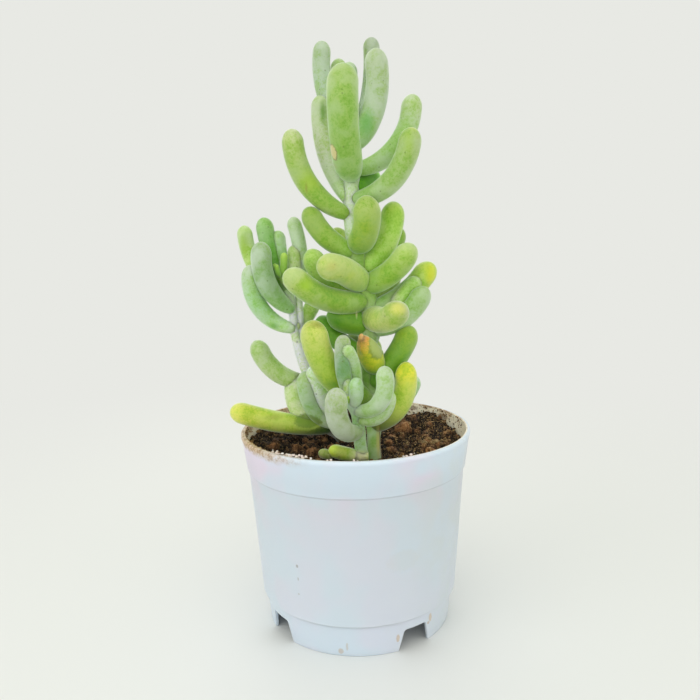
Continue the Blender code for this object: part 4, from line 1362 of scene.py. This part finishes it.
def add_soil_body(patch, turns, x, y, z):
    """The compost as one closed body, from the pot's floor up to the surface."""
    kink_z = INNER_KINK[1]
    bottom_z = FLOOR_TOP_Z + SEAT_GAP
    levels = (
        (bottom_z, INNER_BOTTOM[0] - FLOOR_ROUND - SEAT_GAP),
        (INNER_BOTTOM[1] + SEAT_GAP, wall_inside(INNER_BOTTOM[1] + SEAT_GAP) - SEAT_GAP),
        (kink_z, wall_inside(kink_z) - SEAT_GAP),
    )
    lower = []
    for height, reach in levels:
        ring = (reach * np.cos(turns), reach * np.sin(turns), np.full(len(turns), height))
        lower.append(np.stack(ring, -1))
    rings = np.concatenate([np.array(lower), np.stack([x, y, z], -1)])
    dark = np.broadcast_to(linear(SOIL_DARK), (len(lower), SOIL_SECTORS, 3))
    colours = np.concatenate([dark, soil_tints(x, y, z)]).reshape(-1, 3)
    patch.add(rings.reshape(-1, 3), tube_faces(len(rings), SOIL_SECTORS), colours, 0.0)


def add_loose_crumbs(patch, x, y, z):
    """Crumbs that lie on the soil, with a dry heap of them at the right."""
    draw = random.Random(CRUMB_SEED + 1)
    crumbs = [(place, CRUMB_LOOKS, LOOSE_DARKER) for place in crumb_places(draw, LOOSE_CRUMBS, LOOSE_SIZES)]
    for _ in range(DRY_CRUMBS):
        x_dry, y_dry = [draw.gauss(*pair) for pair in zip(DRY_SPOT, DRY_SPREAD)]
        crumbs.append(((x_dry, y_dry, draw.uniform(*DRY_SIZES)), DRY_LOOKS, 1.0))
    for (cx, cy, radius), looks, darker in crumbs:
        if any(math.hypot(cx - a, cy - b) < CRUMB_STEM_GAP + radius for a, b in STEM_SPOTS):
            continue
        height = z.flat[np.argmin(np.hypot(x - cx, y - cy))] + 0.25 * radius
        colour = looks[min(int(len(looks) * draw.random() ** darker), len(looks) - 1)]
        add_crumb(patch, (cx, cy, height), radius, colour, draw, 2 if radius > 0.6 else 1)


def make_soil():
    patch = Patch()
    limit = wall_inside(0.5 * (SOIL_LEFT_Z + SOIL_RIGHT_Z)) - SEAT_GAP - 0.15
    radii = np.linspace(0.4, limit, SOIL_ROWS)[::-1][:, None]
    turns = math.tau * np.arange(SOIL_SECTORS) / SOIL_SECTORS
    x = radii * np.cos(turns)
    y = radii * np.sin(turns)
    z = soil_surface(x, y)
    z[0] = np.minimum(z[0], SOIL_EDGE_TOP)
    add_soil_body(patch, turns, x, y, z)
    add_loose_crumbs(patch, x, y, z)
    soil = patch.make("soil_fine")
    sharpen(soil, SOIL_SHARP)
    dress(soil, soil_material(), "soil")


def make_rim_crumbs():
    """Soil stuck along the rim and the inner wall, and white lime at the front."""
    patch = Patch()
    draw = random.Random(CRUMB_SEED + 2)
    for _ in range(LEFT_CRUMBS):
        turn = math.radians(draw.gauss(LEFT_TURN, LEFT_SPREAD))
        height = POT_HEIGHT - abs(draw.gauss(0.0, LEFT_DROP)) - 0.1
        place = round_place(wall_inside(height) - 0.1, turn, height)
        colour = draw.choice(CRUMB_LOOKS[1:] + DRY_LOOKS)
        add_crumb(patch, place, draw.uniform(*LEFT_SIZES), colour, draw)
    for _ in range(BACK_CRUMBS):
        turn = math.radians(draw.uniform(*BACK_CRUMB_TURNS))
        height = POT_HEIGHT - 0.3 - BACK_DROP * draw.random() ** 1.6
        place = round_place(wall_inside(min(height, POT_HEIGHT - 0.5)) - 0.05, turn, height)
        colour = draw.choice(CRUMB_LOOKS[1:])
        add_crumb(patch, place, draw.uniform(*BACK_SIZES), colour, draw)
    for centre, count in LIME_GROUPS:
        for _ in range(count):
            turn = math.radians(draw.gauss(centre, LIME_SPREAD))
            height = POT_HEIGHT - 0.5 + LIME_RISE * draw.random() ** 1.5
            reach = RIM_RADIUS - RIM_LIP + 0.3 - 1.0 * draw.random()
            place = round_place(reach, turn, height)
            add_crumb(patch, place, draw.uniform(*LIME_SIZES), draw.choice(LIME_CRUMBS), draw)
    dress(patch.make("rim_crumbs"), crumb_material())


def grow_main(patch, draw):
    leaves = MAIN_LEAVES + back_leaves(MAIN_SPIRAL, BACK_LOOKS)
    add_stem(patch, MAIN_STEM, leaves, MAIN_STEM_LEVELS, draw)
    add_leaves(patch, MAIN_STEM, leaves, draw, MAIN_FORMS)
    add_rooted(patch, (WITHERED_LEAF, WITHERED_TIP), draw, "shrivelled")
    add_rooted(patch, MAIN_BUDS, draw)


def grow_left(patch, draw):
    leaves = LEFT_LEAVES + back_leaves(LEFT_SPIRAL, LEFT_BACK_LOOKS)
    add_stem(patch, LEFT_STEM, leaves, LEFT_STEM_LEVELS, draw)
    add_stem(patch, LEFT_TWIN_STEM, LEFT_TWIN_LEAVES, LEFT_STEM_LEVELS, draw)
    add_leaves(patch, LEFT_STEM, leaves, draw)
    add_leaves(patch, LEFT_TWIN_STEM, LEFT_TWIN_LEAVES, draw)
    add_rooted(patch, LEFT_BUDS, draw)


def grow_front(patch, draw):
    add_stem(patch, FRONT_STEM, FRONT_LEAVES, FRONT_STEM_LEVELS, draw)
    add_stub(patch, draw)
    add_leaves(patch, FRONT_STEM, FRONT_LEAVES, draw)
    add_rooted(patch, (SOIL_LEAF,) + FRONT_BUDS, draw)


def make_shoot(side, grow, seed, marks, crisp_marks=()):
    """One shoot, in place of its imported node."""
    patch = Patch()
    grow(patch, random.Random(seed))
    made = patch.make(f"shoot_{side}_fine")
    dress(made, leaf_material(f"{side}_leaf_skin", marks, crisp_marks), f"shoot_{side}")


def make_camera():
    camera = bpy.data.cameras.new("camera")
    camera.sensor_width = SENSOR
    camera.lens = LENS
    camera.clip_start, camera.clip_end = CAMERA_CLIP
    made = add_object("camera", camera)
    turn = Matrix((CAMERA_RIGHT, CAMERA_UP, -Vector(CAMERA_AHEAD))).transposed().to_4x4()
    x, y, z = CAMERA_PLACE
    made.matrix_world = Matrix.Translation(((x + POT_X) * MM, y * MM, z * MM)) @ turn
    bpy.context.scene.camera = made


def make_floor():
    """A pale floor that fades into the pale backdrop."""
    shape = bmesh.new()
    bmesh.ops.create_circle(shape, cap_ends=True, segments=FLOOR_SIDES, radius=FLOOR_RADIUS)
    floor = add_shape("floor", shape)
    paint = Paint("pale_floor")
    paint.feed(paint.shader.inputs, {"Base Color": linear(FLOOR_COLOUR), **FLOOR_SOCKETS})
    share = paint.ramp(paint.vector("LENGTH", paint.place), *FLOOR_FADE)
    glow = paint.node("Emission", {"Color": linear(BACKDROP_COLOUR), "Strength": WORLD_STRENGTH})
    mixed = paint.node("MixShader", {0: share, 1: paint.shader.outputs[0], 2: glow.outputs[0]})
    paint.feed(paint.tree.nodes["Material Output"].inputs, {"Surface": mixed.outputs[0]})
    floor.data.materials.append(paint.made)


def make_light():
    world = bpy.data.worlds.new("studio")
    bpy.context.scene.world = world
    world.use_nodes = True
    sky = world.node_tree.nodes["Background"]
    sky.inputs["Color"].default_value = (*linear(BACKDROP_COLOUR), 1.0)
    sky.inputs["Strength"].default_value = WORLD_STRENGTH
    for name, place, size, power in LIGHTS:
        light = bpy.data.lights.new(name, "AREA")
        light.shape = "DISK"
        light.size = size
        light.energy = power
        light.color = LIGHT_COLOUR
        made = add_object(name, light)
        made.location = place
        toward = Vector(LIGHT_AIM) - Vector(place)
        made.rotation_mode = "QUATERNION"
        made.rotation_quaternion = toward.to_track_quat("-Z", "Y")


def main():
    make_camera()
    make_light()
    make_floor()
    make_pot()
    make_soil()
    make_rim_crumbs()
    make_shoot("main", grow_main, 41, MAIN_MARKS, CUT_MARKS)
    make_shoot("left", grow_left, 42, LEFT_MARKS, BASE_EDGE_AND_SHADE_MARKS)
    make_shoot("front", grow_front, 43, FRONT_MARKS)
    bpy.context.scene.view_settings.view_transform = "Standard"


main()
